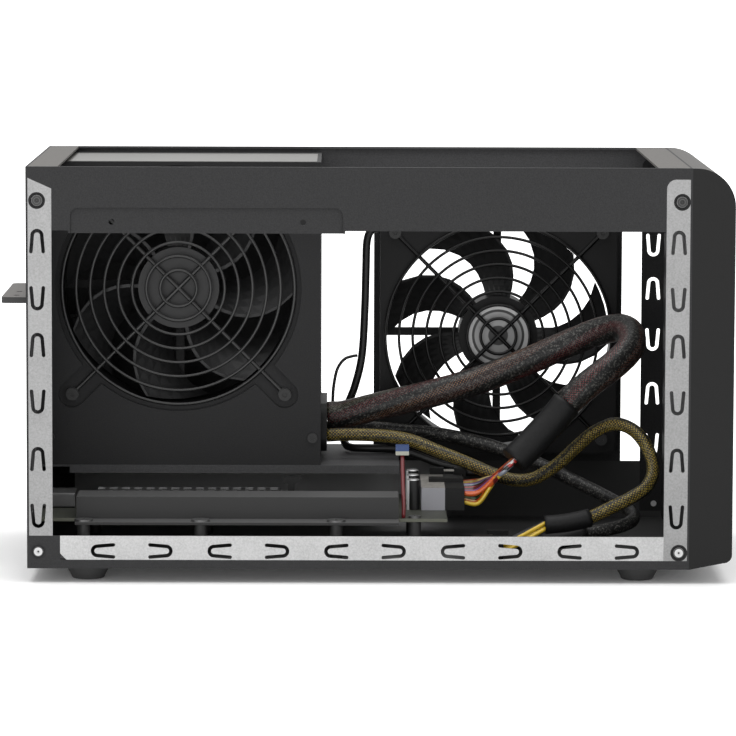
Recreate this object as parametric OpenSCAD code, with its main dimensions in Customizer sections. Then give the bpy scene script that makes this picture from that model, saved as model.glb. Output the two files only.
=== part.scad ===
// PCIe expansion chassis without its outer cover: a steel case that holds an ATX power supply,
// a side fan and a riser board with one x16 slot.
// X runs from the back panel to the bezel, Y from the open side to the far side, Z up.
// The modules are drawn from the back panel's outer face, the open side and the case's underside,
// and in_case() puts them on the floor, centred. Cords are drawn straight in the floor frame.

/* [Case] */
// Length of the steel case from back panel to bezel
case_len = 315; // [308:1:350]
// Width of the case across its two sides
case_w = 175; // [174:1:190]
// Height of the steel case
case_h = 191.3; // [190.3:0.1:205]
// Thickness of the steel sheet
sheet_t = 1; // [0.8:0.1:1.3]
// Height of the top beams
beam_h = 30.1; // [26:0.1:34]
// Height of the lip on the open side
near_lip_h = 15.7; // [14.5:0.1:18]
// Height of the lip on the far side
far_lip_h = 30; // [24:1:31]
// Depth of the dark fold under the bare contact strip
lip_fold_h = 4.2; // [3:0.1:5]
// Depth of the strap across the top at the rear
rear_strap_w = 14; // [10:1:20]
// Depth of the strap across the top at the front
front_strap_w = 15; // [10:1:20]

/* [Contact rails] */
// Width of the bare upright rails
rail_w = 11.2; // [10.5:0.1:13]
// Length of a contact tongue
tongue_len = 11.6; // [10:0.1:13]
// Width across a contact tongue's slit
tongue_w = 7.5; // [6.5:0.1:7.8]
// Width of the slit round a contact tongue
slit_w = 1.7; // [1.2:0.1:2]

/* [Bezel and feet] */
// Depth of the plastic front bezel
bezel_d = 20.5; // [20:0.5:28]
// Radius of the bezel's upper front edge
bezel_top_r = 18.5; // [12:0.5:19]
// Wall of the bezel
bezel_wall = 2.5; // [1.8:0.1:3]
// Height of the rubber feet
foot_h = 7; // [5:0.5:10]
// Diameter of a foot at its top
foot_d = 21; // [18:0.5:24]

/* [Bracket shelf] */
// Reach of the bracket shelf behind the back panel
shelf_reach = 12.5; // [11.5:0.5:14]
// Height of the bracket shelf's top
shelf_z = 128.6; // [126:0.1:132]
// Pitch of the card slots
slot_pitch = 20.32; // [20:0.02:20.6]

/* [Power supply] */
// Depth of the power supply along the case
psu_len = 138; // [134:1:140]
// Thickness of the power supply
psu_w = 86; // [84:1:87]
// Height of the power supply
psu_h = 150; // [148:1:151]
// Height of the power supply above the case's underside
psu_z = 38.5; // [37.5:0.1:39]
// Thickness of the power supply's sheet
psu_sheet = 0.8; // [0.6:0.1:1]

/* [Fans] */
// Side of a fan's frame
fan_size = 120; // [119:0.5:120.5]
// Depth of a fan's frame
fan_depth = 25; // [24:0.5:26]
// Distance between a fan's screws
fan_pitch = 105; // [104:0.5:106]
// Diameter of a fan's duct
duct_d = 115; // [113:0.5:116]
// Diameter of the rotor over its blades
rotor_d = 112.6; // [108:0.2:112.6]
// Diameter of the rotor's hub
hub_d = 40; // [36:0.5:44]
// Number of blades on a rotor
blades = 7; // [5:1:9]
// Diameter of the guard's ring wire
guard_wire = 1.5; // [1.2:0.1:1.8]
// Diameter of the guard's leg wire
guard_leg = 2; // [1.8:0.1:2.4]
// Spacing of the guard's rings
guard_pitch = 6.9; // [6.5:0.1:7]
// Number of rings in a guard
guard_rings = 8; // [5:1:8]

/* [Board] */
// Length of the riser board
board_len = 198.5; // [196:0.5:204]
// Width of the riser board
board_w = 90; // [88:1:94]
// Height of the board's top face above the case's underside
board_z = 20.4; // [18:0.1:20.6]
// Thickness of the board
board_t = 1.6; // [1.2:0.1:2]
// Distance of the slot's middle from the open side
slot_y = 53; // [52:0.1:54]
// Height of the slot connector
slot_h = 11.1; // [10.5:0.1:11.5]
// Length of the slot connector
slot_len = 89; // [88:0.5:90]

/* [Hidden] */
$fn = 64;
// One overrun serves all cuts
over = 0.5;
right_angle = 90;
half_turn = 180;
full_turn = 360;

// Planes of the case
x_in = sheet_t;
x_front = case_len - sheet_t;
y_far = case_w - sheet_t;
z_beam = case_h - beam_h;
rail_front_x = x_front - rail_w;

module in_case()
    translate([-(case_len + bezel_d - shelf_reach) / 2, -case_w / 2, foot_h]) children();

// A block between two corners
module block(low, high)
    translate(low) cube(high - low);

// A sheet that stands across Y, drawn in X and Z
module sheet_y(y, t)
    translate([0, y + t, 0]) rotate([right_angle, 0, 0]) linear_extrude(t) children();

// A sheet that stands across X, drawn in Y and Z
module sheet_x(x, t)
    translate([x, 0, 0]) rotate([right_angle, 0, right_angle]) linear_extrude(t) children();

module rect(low, high)
    translate(low) square(high - low);

// A rectangle with round corners, from two corners
module round_rect(low, high, r) {
    rect([low.x + r, low.y], [high.x - r, high.y]);
    rect([low.x, low.y + r], [high.x, high.y - r]);
    for (x = [low.x + r, high.x - r], y = [low.y + r, high.y - r])
        translate([x, y]) circle(r);
}

// A shaft or hole along Y, from y towards the far side
module rod_y(pos, d, len)
    translate(pos) rotate([-right_angle, 0, 0]) cylinder(h = len, d = d);

// A shaft or hole along X
module rod_x(pos, d, len)
    translate(pos) rotate([0, right_angle, 0]) cylinder(h = len, d = d);

// A pan head screw along Y with its seat at pos, sign +1 for a shank towards the far side
socket_share = 0.4;
module screw_y(pos, head_d, head_h, shank_d, shank_len, sign) {
    socket_d = head_d * socket_share;
    difference() {
        union() {
            rod_y(pos - [0, sign > 0 ? head_h : 0, 0], head_d, head_h);
            rod_y(pos - [0, sign > 0 ? 0 : shank_len, 0], shank_d, shank_len);
        }
        rod_y(pos - [0, sign > 0 ? head_h + over : -head_h / 2, 0], socket_d, head_h / 2 + over);
    }
}

// The slit that frees a contact tongue: a round nose at the origin and two arms towards +X
nose_r_share = 0.3;
module tongue_slit() {
    nose_r = tongue_w * nose_r_share;
    arm_y = (tongue_w - slit_w) / 2;
    arm_x = tongue_len - slit_w / 2;
    translate([nose_r + slit_w / 2, 0]) difference() {
        circle(nose_r + slit_w / 2);
        circle(nose_r - slit_w / 2);
        rect([0, -tongue_w], [tongue_w, tongue_w]);
    }
    for (s = [-1, 1]) {
        polygon([
            [nose_r + slit_w / 2, s * (nose_r - slit_w / 2)],
            [nose_r + slit_w / 2, s * (nose_r + slit_w / 2)],
            [arm_x, s * (arm_y + slit_w / 2)],
            [arm_x, s * (arm_y - slit_w / 2)]
        ]);
        translate([arm_x, s * arm_y]) circle(d = slit_w);
    }
}

// Contact tongues up a rail: each place is the slit's lower end as a share of the case's height
near_tongue_shares = [0.1014, 0.2436, 0.3868, 0.528, 0.644, 0.7857];
far_tongue_shares = [0.1715, 0.3095, 0.4548, 0.5923, 0.7088];
module upright_slits(shares, x, first_up) {
    for (i = [0 : len(shares) - 1]) {
        nose_down = (i % 2 == 0) == first_up;
        translate([x, shares[i] * case_h + (nose_down ? 0 : tongue_len)])
            rotate(nose_down ? right_angle : -right_angle) tongue_slit();
    }
}

// Contact tongues along the bottom strip, as shares of the case's length
bottom_pair_pitch_share = 0.1762;
bottom_first_share = 0.0962;
bottom_second_share = 0.2197;
bottom_pairs = 5;
bottom_slit_rise = 0.5;
module bottom_slits() {
    z = lip_fold_h + tongue_w / 2 + bottom_slit_rise;
    for (i = [0 : bottom_pairs - 1]) {
        step = i * bottom_pair_pitch_share * case_len;
        translate([bottom_first_share * case_len + step, z]) tongue_slit();
        translate([bottom_second_share * case_len + step, z]) mirror([1, 0]) tongue_slit();
    }
}

// Side screws: a dished seat in the sheet, a head on it and a shank behind
side_head_d = 5;
side_head_h = 0.7;
side_shank_d = 3;
side_shank_len = 6;
dish_d = 8;
dish_depth = 0.6 * sheet_t;
top_screw_drop = 16;
rear_screw_x = 5.3;
front_screw_inset = 4.9;
low_screw_z = 8;
function side_screw_places() = [
    [rear_screw_x, case_h - top_screw_drop], [case_len - front_screw_inset, case_h - top_screw_drop],
    [rear_screw_x, low_screw_z], [case_len - front_screw_inset, low_screw_z]
];

module screw_seats(places) {
    for (p = places) {
        rod_y([p.x, -over, p.y], side_shank_d, case_w + 2 * over);
        for (side = [0, 1])
            translate([p.x, side * case_w, p.y]) rotate([side == 0 ? -right_angle : right_angle, 0, 0])
                cylinder(h = dish_depth, d1 = dish_d, d2 = side_head_d + 2 * side_gap);
    }
}
side_gap = 0.1;

// CASE SHEETS

corner_plate_w = near_lip_h;
tray_screw_places = [[rear_screw_x, low_screw_z]];
front_foot_inset = 23.5;
rear_foot_inset = 28;
foot_y_inset = 18;

module base_tray() color("#2b2b2d") in_case() difference() {
    union() {
        block([x_in, 0, 0], [x_front, case_w, sheet_t]);
        sheet_y(0, sheet_t) {
            rect([x_in, 0], [x_front, lip_fold_h]);
            rect([x_in, 0], [corner_plate_w, near_lip_h]);
        }
        sheet_y(y_far, sheet_t) {
            rect([x_in, 0], [x_front, lip_fold_h]);
            rect([x_in, 0], [corner_plate_w, near_lip_h]);
            rect([x_in + rail_w, 0], [rail_front_x, far_lip_h]);
        }
    }
    screw_seats(tray_screw_places);
}

// Window for the power supply's rear face, as insets from the power supply's outline
psu_y = y_far - psu_w;
window_y_inset = 11;
window_z_inset = 11.5;
window_r = 4;
// Fixing screws of an ATX power supply, from its lower near corner: height, then distance from the fan side
atx_screws = [[6, 16], [6, 80], [120, 80], [144, 6]];
psu_screw_hole_d = 3.8;
// Bracket slots
bracket_w = 12.1;
bracket_rise = 3.2;
bracket_z0 = board_z + bracket_rise;
bracket_top_gap = 5.5;
shelf_t = 1.4;
bracket_offset = 7;
first_bracket_y = slot_y - bracket_offset;
// Connector for the host's cable, beside the slot
port_w = 18;
port_h = 7.5;
port_offset = 9;
port_y = slot_y + port_offset;
port_r = 1;
// Vents above the bracket shelf
vent_d = 5.5;
vent_pitch = 7;
vent_row_share = 0.866;
vent_margin = 9;

// Hexagonal holes that fill a rectangle
module hex_holes(low, high, d, pitch) {
    rows = floor((high.y - low.y - d) / (pitch * vent_row_share));
    cols = floor((high.x - low.x - d) / pitch) - 1;
    x0 = (low.x + high.x) / 2 - (cols + 1 / 2) * pitch / 2;
    y0 = (low.y + high.y) / 2 - rows * pitch * vent_row_share / 2;
    for (j = [0 : rows], i = [0 : cols])
        translate([x0 + (i + (j % 2) / 2) * pitch, y0 + j * pitch * vent_row_share])
            rotate(right_angle) circle(d = d, $fn = 6);
}

function bracket_y(i) = first_bracket_y - i * slot_pitch;

module back_panel() color("#2b2b2d") in_case() sheet_x(0, sheet_t) difference() {
    rect([0, 0], [case_w, case_h]);
    round_rect([psu_y + window_y_inset, psu_z + window_z_inset],
        [psu_y + psu_w - window_y_inset, psu_z + psu_h - window_z_inset], window_r);
    for (s = atx_screws)
        translate([psu_y + s.y, psu_z + s.x]) circle(d = psu_screw_hole_d);
    for (i = [0, 1])
        rect([bracket_y(i) - bracket_w / 2, bracket_z0],
            [bracket_y(i) + bracket_w / 2, shelf_z - shelf_t - bracket_top_gap]);
    round_rect([port_y, board_z], [port_y + port_w, board_z + port_h], port_r);
    hex_holes([vent_margin, shelf_z + vent_margin / 2], [psu_y - vent_margin / 2, z_beam + vent_margin / 2],
        vent_d, vent_pitch);
}

module front_panel() color("#2b2b2d") in_case()
    sheet_x(x_front, sheet_t) rect([0, 0], [case_w, case_h]);

// The beam's outer face with room for the rails at both ends
rail_top_drop = 5.3;
rail_top_z = case_h - rail_top_drop;
rail_slant = 5;
front_rail_r = 4.5;
// Embossed field on the near beam
field_x0 = 20;
field_x1 = 151;
field_top = 11.8;
field_depth = 1;
field_r = 5;
field_hole_d = 2.8;
field_hole_insets = [20.5, 20];
field_hole_z = 4;
beam_step = 1.3;

module rear_rail_top() polygon([
    [x_in, z_beam - beam_step], [x_in + rail_w, z_beam - beam_step],
    [x_in + rail_w, rail_top_z - rail_slant], [x_in, rail_top_z]
]);

module front_rail_top() difference() {
    rect([rail_front_x, z_beam - beam_step], [x_front, rail_top_z]);
    difference() {
        rect([rail_front_x - over, rail_top_z - front_rail_r],
            [rail_front_x + front_rail_r, rail_top_z + over]);
        translate([rail_front_x + front_rail_r, rail_top_z - front_rail_r]) circle(front_rail_r);
    }
}

module beam_face() difference() {
    union() {
        rect([x_in, z_beam], [x_front, case_h]);
        children();
    }
    rear_rail_top();
    front_rail_top();
}

beam_flange = 3;
module beam_flange_strip(y0)
    block([x_in, y0, case_h - sheet_t], [x_front, y0 + beam_flange, case_h]);

module field_outline(grow)
    round_rect([field_x0 - grow, z_beam - beam_step - field_top], [field_x1 + grow, z_beam + field_top + grow],
        field_r + grow);

module near_top_beam() color("#38383a") in_case() {
    beam_flange_strip(0);
    difference() {
        union() {
            difference() {
                sheet_y(0, sheet_t) beam_face();
                sheet_y(-over, sheet_t + 2 * over) field_outline(-sheet_t);
            }
            difference() {
                sheet_y(0, sheet_t + field_depth) intersection() {
                    field_outline(0);
                    rect([0, z_beam - beam_step], [case_len, case_h]);
                }
                sheet_y(-over, field_depth + over) field_outline(-sheet_t);
            }
        }
        for (x = [field_x0 + field_hole_insets[0], field_x1 - field_hole_insets[1]])
            rod_y([x, -over, z_beam + field_hole_z], field_hole_d, sheet_t + field_depth + 2 * over);
    }
}

module far_top_beam() color("#38383a") in_case() {
    beam_flange_strip(case_w - beam_flange);
    sheet_y(y_far, sheet_t) beam_face();
}

module rear_top_strap() color("#6d6660") in_case()
    block([x_in, beam_flange, case_h - sheet_t], [x_in + rear_strap_w, case_w - beam_flange, case_h]);

module front_top_strap() color("#6d6660") in_case()
    block([x_front - front_strap_w, beam_flange, case_h - sheet_t],
        [x_front, case_w - beam_flange, case_h]);

// Side fan: its place and the plate that carries it
fan_inset = 86.3;
fan_x = case_len - fan_inset;
fan_z = 97;
fan_y = y_far - fan_depth;
fan_plate_rear = 3;
fan_plate_front = 4;
fan_plate_x0 = fan_x - fan_size / 2 - fan_plate_rear;
fan_plate_x1 = fan_x + fan_size / 2 + fan_plate_front;
fan_hole_d = 4.4;

module fan_holes(x, z, d)
    for (sx = [-1, 1], sz = [-1, 1])
        translate([x + sx * fan_pitch / 2, z + sz * fan_pitch / 2]) circle(d = d);

module fan_plate() color("#2b2b2d") in_case() sheet_y(y_far, sheet_t) difference() {
    rect([fan_plate_x0, far_lip_h], [fan_plate_x1, z_beam]);
    translate([fan_x, fan_z]) circle(d = duct_d);
    fan_holes(fan_x, fan_z, fan_hole_d);
}

// Shelf under the power supply, with a folded front edge and a tab down to the far lip
psu_shelf_len = 177;
psu_shelf_lip = 4;
shelf_tab_drop = 14;
shelf_fan_gap = 4;
module psu_shelf() color("#47474a") in_case() {
    difference() {
        block([x_in, psu_y, psu_z - sheet_t], [x_in + psu_shelf_len, y_far, psu_z]);
        block([fan_plate_x0, fan_y - shelf_fan_gap, psu_z - sheet_t - over],
            [x_in + psu_shelf_len + over, y_far + over, psu_z + over]);
    }
    block([x_in + rear_strap_w, psu_y - sheet_t, psu_z - psu_shelf_lip],
        [x_in + psu_shelf_len, psu_y, psu_z]);
    block([x_in + rail_w, y_far - sheet_t, psu_z - shelf_tab_drop], [fan_plate_x0, y_far, psu_z - sheet_t]);
}

// Shelf behind the back panel that the card brackets are screwed to
shelf_y0 = 10;
shelf_rim = 2.9;
shelf_corner_r = 3;
bracket_hole_d = 3;
bracket_hole_x = -5.9;
bracket_hole_dy = 5;
module shelf_plan(inset) {
    round_rect([-shelf_reach + inset, shelf_y0 + inset], [-inset, psu_y - inset], shelf_corner_r - inset);
    rect([-shelf_reach / 2, shelf_y0 + inset], [0, psu_y - inset]);
}
module bracket_shelf() color("#2b2b2d") in_case() difference() {
    translate([0, 0, shelf_z - shelf_rim]) linear_extrude(shelf_rim) shelf_plan(0);
    translate([0, 0, shelf_z - shelf_rim - over]) linear_extrude(shelf_rim - shelf_t + over)
        intersection() {
            shelf_plan(shelf_t);
            rect([-shelf_reach, shelf_y0], [-shelf_t, psu_y]);
        }
    for (i = [0, 1])
        translate([bracket_hole_x, bracket_y(i) - bracket_hole_dy, shelf_z - shelf_rim])
            cylinder(h = shelf_rim + over, d = bracket_hole_d);
}

// BEZEL AND FEET

bezel_slope = 3.2;
bezel_low_r = 4;
// Side view of the bezel, drawn inside its outline by inset
module bezel_profile(inset) {
    x1 = case_len + bezel_d - inset;
    top_r = bezel_top_r - inset;
    top_c = [x1 - top_r, case_h - bezel_top_r];
    low_r = bezel_low_r - inset;
    low_c = [x1 - low_r, bezel_slope + bezel_low_r];
    intersection() {
        union() {
            polygon([
                [case_len, inset], [low_c.x, low_c.y - low_r], [x1, low_c.y],
                [x1, top_c.y], [top_c.x, top_c.y + top_r], [case_len, case_h - inset]
            ]);
            translate(top_c) circle(top_r);
            translate(low_c) circle(low_r);
        }
        rect([case_len, 0], [x1, case_h]);
    }
}
module front_bezel() color("#232325") in_case() difference() {
    sheet_y(0, case_w) bezel_profile(0);
    intersection() {
        sheet_y(bezel_wall, case_w - 2 * bezel_wall) bezel_profile(bezel_wall);
        block([case_len - over, 0, 0], [case_len + bezel_d, case_w, case_h]);
    }
}

foot_taper = 2.5;
foot_edge_r = 1.2;
module foot() rotate_extrude() {
    polygon([
        [0, 0], [foot_d / 2, 0], [foot_d / 2, -foot_edge_r],
        [foot_d / 2 - foot_taper, foot_edge_r - foot_h],
        [foot_d / 2 - foot_taper - foot_edge_r, -foot_h], [0, -foot_h]
    ]);
    translate([foot_d / 2 - foot_taper - foot_edge_r, foot_edge_r - foot_h]) circle(foot_edge_r);
}
module feet() color("#1a1a1c") in_case()
    for (x = [rear_foot_inset, case_len - front_foot_inset], y = [foot_y_inset, case_w - foot_y_inset])
        translate([x, y, 0]) foot();

// CONTACT RAILS

rear_slit_shift = 1.2;
rear_slit_x = x_in + rail_w / 2 - rear_slit_shift;
front_slit_inset = 1.5;
front_slit_x = x_front - tongue_w / 2 - front_slit_inset;

module rear_rail(shares, first_up, z0) difference() {
    union() {
        rect([x_in, z0], [x_in + rail_w, z_beam - beam_step]);
        rear_rail_top();
    }
    upright_slits(shares, rear_slit_x, first_up);
}
module front_rail(shares, first_up, z0) difference() {
    union() {
        rect([rail_front_x, z0], [x_front, z_beam - beam_step]);
        front_rail_top();
    }
    upright_slits(shares, front_slit_x, first_up);
}

module near_rear_rail() color("#c9cbcd") in_case() difference() {
    sheet_y(0, sheet_t) rear_rail(near_tongue_shares, true, near_lip_h);
    screw_seats(side_screw_places());
}
module near_front_rail() color("#c9cbcd") in_case() difference() {
    sheet_y(0, sheet_t) front_rail(near_tongue_shares, true, lip_fold_h);
    screw_seats(side_screw_places());
}
module far_rear_rail() color("#c9cbcd") in_case() difference() {
    sheet_y(y_far, sheet_t) rear_rail(far_tongue_shares, true, near_lip_h);
    screw_seats(side_screw_places());
}
module far_front_rail() color("#c9cbcd") in_case() difference() {
    sheet_y(y_far, sheet_t) front_rail(far_tongue_shares, true, lip_fold_h);
    screw_seats(side_screw_places());
}
bottom_rail_chamfer = 3;
module near_bottom_rail() color("#c9cbcd") in_case() sheet_y(0, sheet_t) difference() {
    polygon([
        [corner_plate_w + bottom_rail_chamfer, lip_fold_h], [rail_front_x, lip_fold_h],
        [rail_front_x, near_lip_h], [corner_plate_w, near_lip_h], [corner_plate_w, lip_fold_h + bottom_rail_chamfer]
    ]);
    bottom_slits();
}

module side_screws() color("#8f9194") in_case() for (p = side_screw_places()) {
    screw_y([p.x, dish_depth, p.y], side_head_d, side_head_h, side_shank_d, side_shank_len, 1);
    screw_y([p.x, case_w - dish_depth, p.y], side_head_d, side_head_h, side_shank_d,
        sheet_t - dish_depth, -1);
}

// POWER SUPPLY

psu_x = x_in;
psu_x1 = psu_x + psu_len;
psu_top = psu_z + psu_h;
psu_fan_shift = [-1.2, 12.6];
psu_fan_x = psu_x + psu_len / 2 + psu_fan_shift.x;
psu_fan_z = psu_z + psu_h / 2 + psu_fan_shift.y;
recess_depth = 2;
recess_r = 61.5;
leg_recess_r = 7.5;
psu_fan_y = psu_y + recess_depth + psu_sheet;
psu_bore_d = duct_d + 2;

// Outline of the pressed recess round the fan: a disc with four round-ended legs
module recess_outline(grow) translate([psu_fan_x, psu_fan_z]) {
    circle(recess_r + grow);
    for (a = [0 : 3]) rotate(right_angle * (a + 1 / 2)) {
        rect([0, -leg_recess_r - grow], [fan_pitch / sqrt(2), leg_recess_r + grow]);
        translate([fan_pitch / sqrt(2), 0]) circle(leg_recess_r + grow);
    }
}

cover_screw_inset = 4;
cover_screw_z = 13.5;
cover_screw_hole_d = 2.6;
module cover_screw_holes() for (x = [psu_x + cover_screw_inset, psu_x1 - cover_screw_inset])
    translate([x, psu_z + cover_screw_z]) circle(d = cover_screw_hole_d);

module psu_cover() color("#232426") in_case() {
    sheet_y(psu_y, psu_sheet) difference() {
        rect([psu_x, psu_z], [psu_x1, psu_top]);
        recess_outline(-psu_sheet);
        cover_screw_holes();
    }
    difference() {
        sheet_y(psu_y, recess_depth + psu_sheet) intersection() {
            recess_outline(0);
            rect([psu_x, psu_z], [psu_x1, psu_top]);
        }
        sheet_y(psu_y - over, recess_depth + over) recess_outline(-psu_sheet);
        sheet_y(psu_y, recess_depth + psu_sheet + over) {
            translate([psu_fan_x, psu_fan_z]) circle(d = psu_bore_d);
            fan_holes(psu_fan_x, psu_fan_z, fan_hole_d);
        }
    }
    for (z = [psu_z, psu_top - psu_sheet])
        block([psu_x, psu_y, z], [psu_x1, y_far, z + psu_sheet]);
}

// Holes in the power supply's rear wall for the inlet and the switch, and its vent
inlet_shift = -0.5;
inlet_rise = 31;
inlet_y = psu_y + psu_w / 2 + inlet_shift;
inlet_z = psu_z + inlet_rise;
inlet_w = 20;
inlet_h = 27;
inlet_flange = 2;
switch_rise = 16;
switch_z = inlet_z + inlet_h / 2 + switch_rise;
switch_w = 13;
switch_h = 19;
switch_flange = 2;
psu_vent_gap = 2;
psu_vent_z0 = switch_z + switch_h / 2 + switch_flange + psu_vent_gap;
exit_inset = 40;
exit_rise = 17;
exit_y = psu_y + exit_inset;
exit_z = psu_z + exit_rise;
exit_w = 58;
exit_h = 21;
exit_r = 6;

module inlet_outline(grow)
    rect([inlet_y - inlet_w / 2 - grow, inlet_z - inlet_h / 2 - grow],
        [inlet_y + inlet_w / 2 + grow, inlet_z + inlet_h / 2 + grow]);

module switch_outline(grow)
    rect([inlet_y - switch_w / 2 - grow, switch_z - switch_h / 2 - grow],
        [inlet_y + switch_w / 2 + grow, switch_z + switch_h / 2 + grow]);

module grommet_hole(grow)
    round_rect([exit_y - exit_w / 2 - grow, exit_z - exit_h / 2 - grow],
        [exit_y + exit_w / 2 + grow, exit_z + exit_h / 2 + grow], exit_r + grow);

// The power supply's inner shell stands inside its cover
module psu_base() color("#232426") in_case() {
    z0 = psu_z + psu_sheet;
    z1 = psu_top - psu_sheet;
    y0 = psu_y + psu_sheet;
    sheet_x(psu_x, psu_sheet) difference() {
        rect([y0, z0], [y_far, z1]);
        inlet_outline(0);
        switch_outline(0);
        hex_holes([psu_y + window_y_inset, psu_vent_z0],
            [psu_y + psu_w - window_y_inset, psu_top - window_z_inset], vent_d, vent_pitch);
    }
    sheet_x(psu_x1 - psu_sheet, psu_sheet) difference() {
        rect([y0, z0], [y_far, z1]);
        grommet_hole(0);
    }
    sheet_y(y_far - psu_sheet, psu_sheet)
        rect([psu_x + psu_sheet, z0], [psu_x1 - psu_sheet, z1]);
}

label_t = 0.2;
label_len = 124;
label_w = 67;
label_inset_x = 13;
label_inset_y = 1.5;
label_r = 2;
module psu_label() color("#d6d5c6") in_case() translate([0, 0, psu_top]) linear_extrude(label_t)
    round_rect([label_inset_x, psu_y + label_inset_y],
        [label_inset_x + label_len, psu_y + label_inset_y + label_w], label_r);

psu_mount_head_d = 7;
psu_mount_head_h = 2;
psu_mount_shank_d = 3.5;
psu_mount_shank_len = 5;
module psu_mount_screws() color("#2a2a2c") in_case() for (s = atx_screws)
    translate([0, psu_y + s.y, psu_z + s.x]) rotate([0, right_angle, 0]) difference() {
        union() {
            translate([0, 0, -psu_mount_head_h]) cylinder(h = psu_mount_head_h, d = psu_mount_head_d);
            cylinder(h = sheet_t, d = psu_mount_shank_d);
        }
        translate([0, 0, -psu_mount_head_h - over])
            cylinder(h = psu_mount_head_h / 2 + over, d = psu_mount_head_d / 2, $fn = 6);
    }

cover_screw_head_d = 5;
cover_screw_head_h = 1;
cover_screw_shank_d = 2.4;
module psu_cover_screws() color("#2a2a2c") in_case()
    for (x = [psu_x + cover_screw_inset, psu_x1 - cover_screw_inset])
        screw_y([x, psu_y, psu_z + cover_screw_z], cover_screw_head_d, cover_screw_head_h,
            cover_screw_shank_d, side_shank_len, 1);

// Mains inlet: a flange, a body and a recess with three pins
inlet_body_len = 18;
inlet_flange_t = 1.6;
inlet_recess_depth = 15;
inlet_wall = 2.2;
pin_w = 2;
pin_h = 4;
pin_len = 12;
pin_spread = 7;
pin_rise = 4;
module power_inlet() color("#161618") in_case() difference() {
    union() {
        sheet_x(psu_x - inlet_flange_t, inlet_flange_t) inlet_outline(inlet_flange);
        sheet_x(psu_x, inlet_body_len) inlet_outline(0);
    }
    sheet_x(psu_x - inlet_flange_t - over, inlet_recess_depth + over) inlet_outline(-inlet_wall);
}
module inlet_pins() color("#b9a878") in_case() {
    x1 = psu_x - inlet_flange_t + inlet_recess_depth;
    for (p = [[-pin_rise / 2, -pin_spread], [-pin_rise / 2, pin_spread], [pin_rise / 2, 0]])
        block([x1 - pin_len, inlet_y + p.x - pin_h / 2, inlet_z + p.y - pin_w / 2],
            [x1, inlet_y + p.x + pin_h / 2, inlet_z + p.y + pin_w / 2]);
}

// Rocker switch: the rocker tips about a pin across the housing
rocker_x = 3;
rocker_r = 8.5;
rocker_reach = 4.4;
rocker_dish = 1.2;
rocker_side_gap = 0.3;
rocker_pin_d = 2;
rocker_fit = 0.05;
rocker_tilt = 8;
switch_body_len = 16;
switch_wall = 0.8;
switch_flange_t = 1.2;
module switch_housing() color("#161618") in_case() difference() {
    union() {
        sheet_x(psu_x - switch_flange_t, switch_flange_t) switch_outline(switch_flange);
        sheet_x(psu_x, switch_body_len) switch_outline(0);
    }
    sheet_x(psu_x - switch_flange_t - over, switch_body_len - switch_wall + switch_flange_t + over)
        switch_outline(-switch_wall);
    rod_y([psu_x + rocker_x, inlet_y - switch_w / 2 - over, switch_z],
        rocker_pin_d + 2 * rocker_fit, switch_w + 2 * over);
}
// Side view of the rocker about its pin, X outwards to the rear
module rocker_profile() difference() {
    intersection() {
        circle(rocker_r);
        rect([-rocker_reach, -rocker_r], [rocker_pin_d, rocker_r]);
    }
    polygon([
        [-rocker_reach - over, rocker_r], [-rocker_reach + rocker_dish, 0], [-rocker_reach - over, -rocker_r]
    ]);
}
module switch_rocker() color("#161618") in_case()
    translate([psu_x + rocker_x, inlet_y, switch_z]) rotate([0, rocker_tilt, 0]) {
        half = switch_w / 2 - switch_wall - rocker_side_gap;
        translate([0, half, 0]) rotate([right_angle, 0, 0]) linear_extrude(2 * half) rocker_profile();
        rod_y([0, -switch_w / 2, 0], rocker_pin_d, switch_w);
    }

grommet_lip = 1.5;
grommet_reach = 3;
grommet_x1 = psu_x1 + grommet_reach;
module cable_grommet() color("#1a1a1c") in_case() {
    sheet_x(psu_x1 - psu_sheet, psu_sheet) grommet_hole(0);
    sheet_x(psu_x1, grommet_x1 - psu_x1) grommet_hole(grommet_lip);
}

// FANS: drawn about the origin with the duct along +Y from the intake face

fan_corner_r = 6;
fan_rim_t = 4;
fan_wall = 2.2;
fan_rib = 4;
strut_w = 4;
strut_t = 3;
struts = 4;
bearing_d = 9;
bearing_len = 10;
shaft_d = 3;
shaft_fit = 0.05;
hub_gap = 2;
hub_len = 17.5;
hub_wall = 1.5;

module fan_frame() {
    difference() {
        union() {
            for (y = [0, fan_depth - fan_rim_t])
                sheet_y(y, fan_rim_t) round_rect([-fan_size / 2, -fan_size / 2], [fan_size / 2, fan_size / 2],
                    fan_corner_r);
            sheet_y(0, fan_depth) intersection() {
                circle(duct_d / 2 + fan_wall);
                rect([-fan_size / 2, -fan_size / 2], [fan_size / 2, fan_size / 2]);
            }
        }
        sheet_y(-over, fan_depth + 2 * over) {
            circle(d = duct_d);
            fan_holes(0, 0, fan_hole_d);
        }
    }
    difference() {
        union() {
            sheet_y(fan_depth - strut_t, strut_t) {
                circle(d = hub_d);
                for (a = [0 : struts - 1]) rotate(a * full_turn / struts)
                    rect([0, -strut_w / 2], [duct_d / 2 + fan_wall / 2, strut_w / 2]);
            }
            rod_y([0, fan_depth - strut_t - bearing_len, 0], bearing_d, bearing_len);
        }
        rod_y([0, 0, 0], shaft_d + 2 * shaft_fit, fan_depth - strut_t / 2);
    }
}

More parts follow.
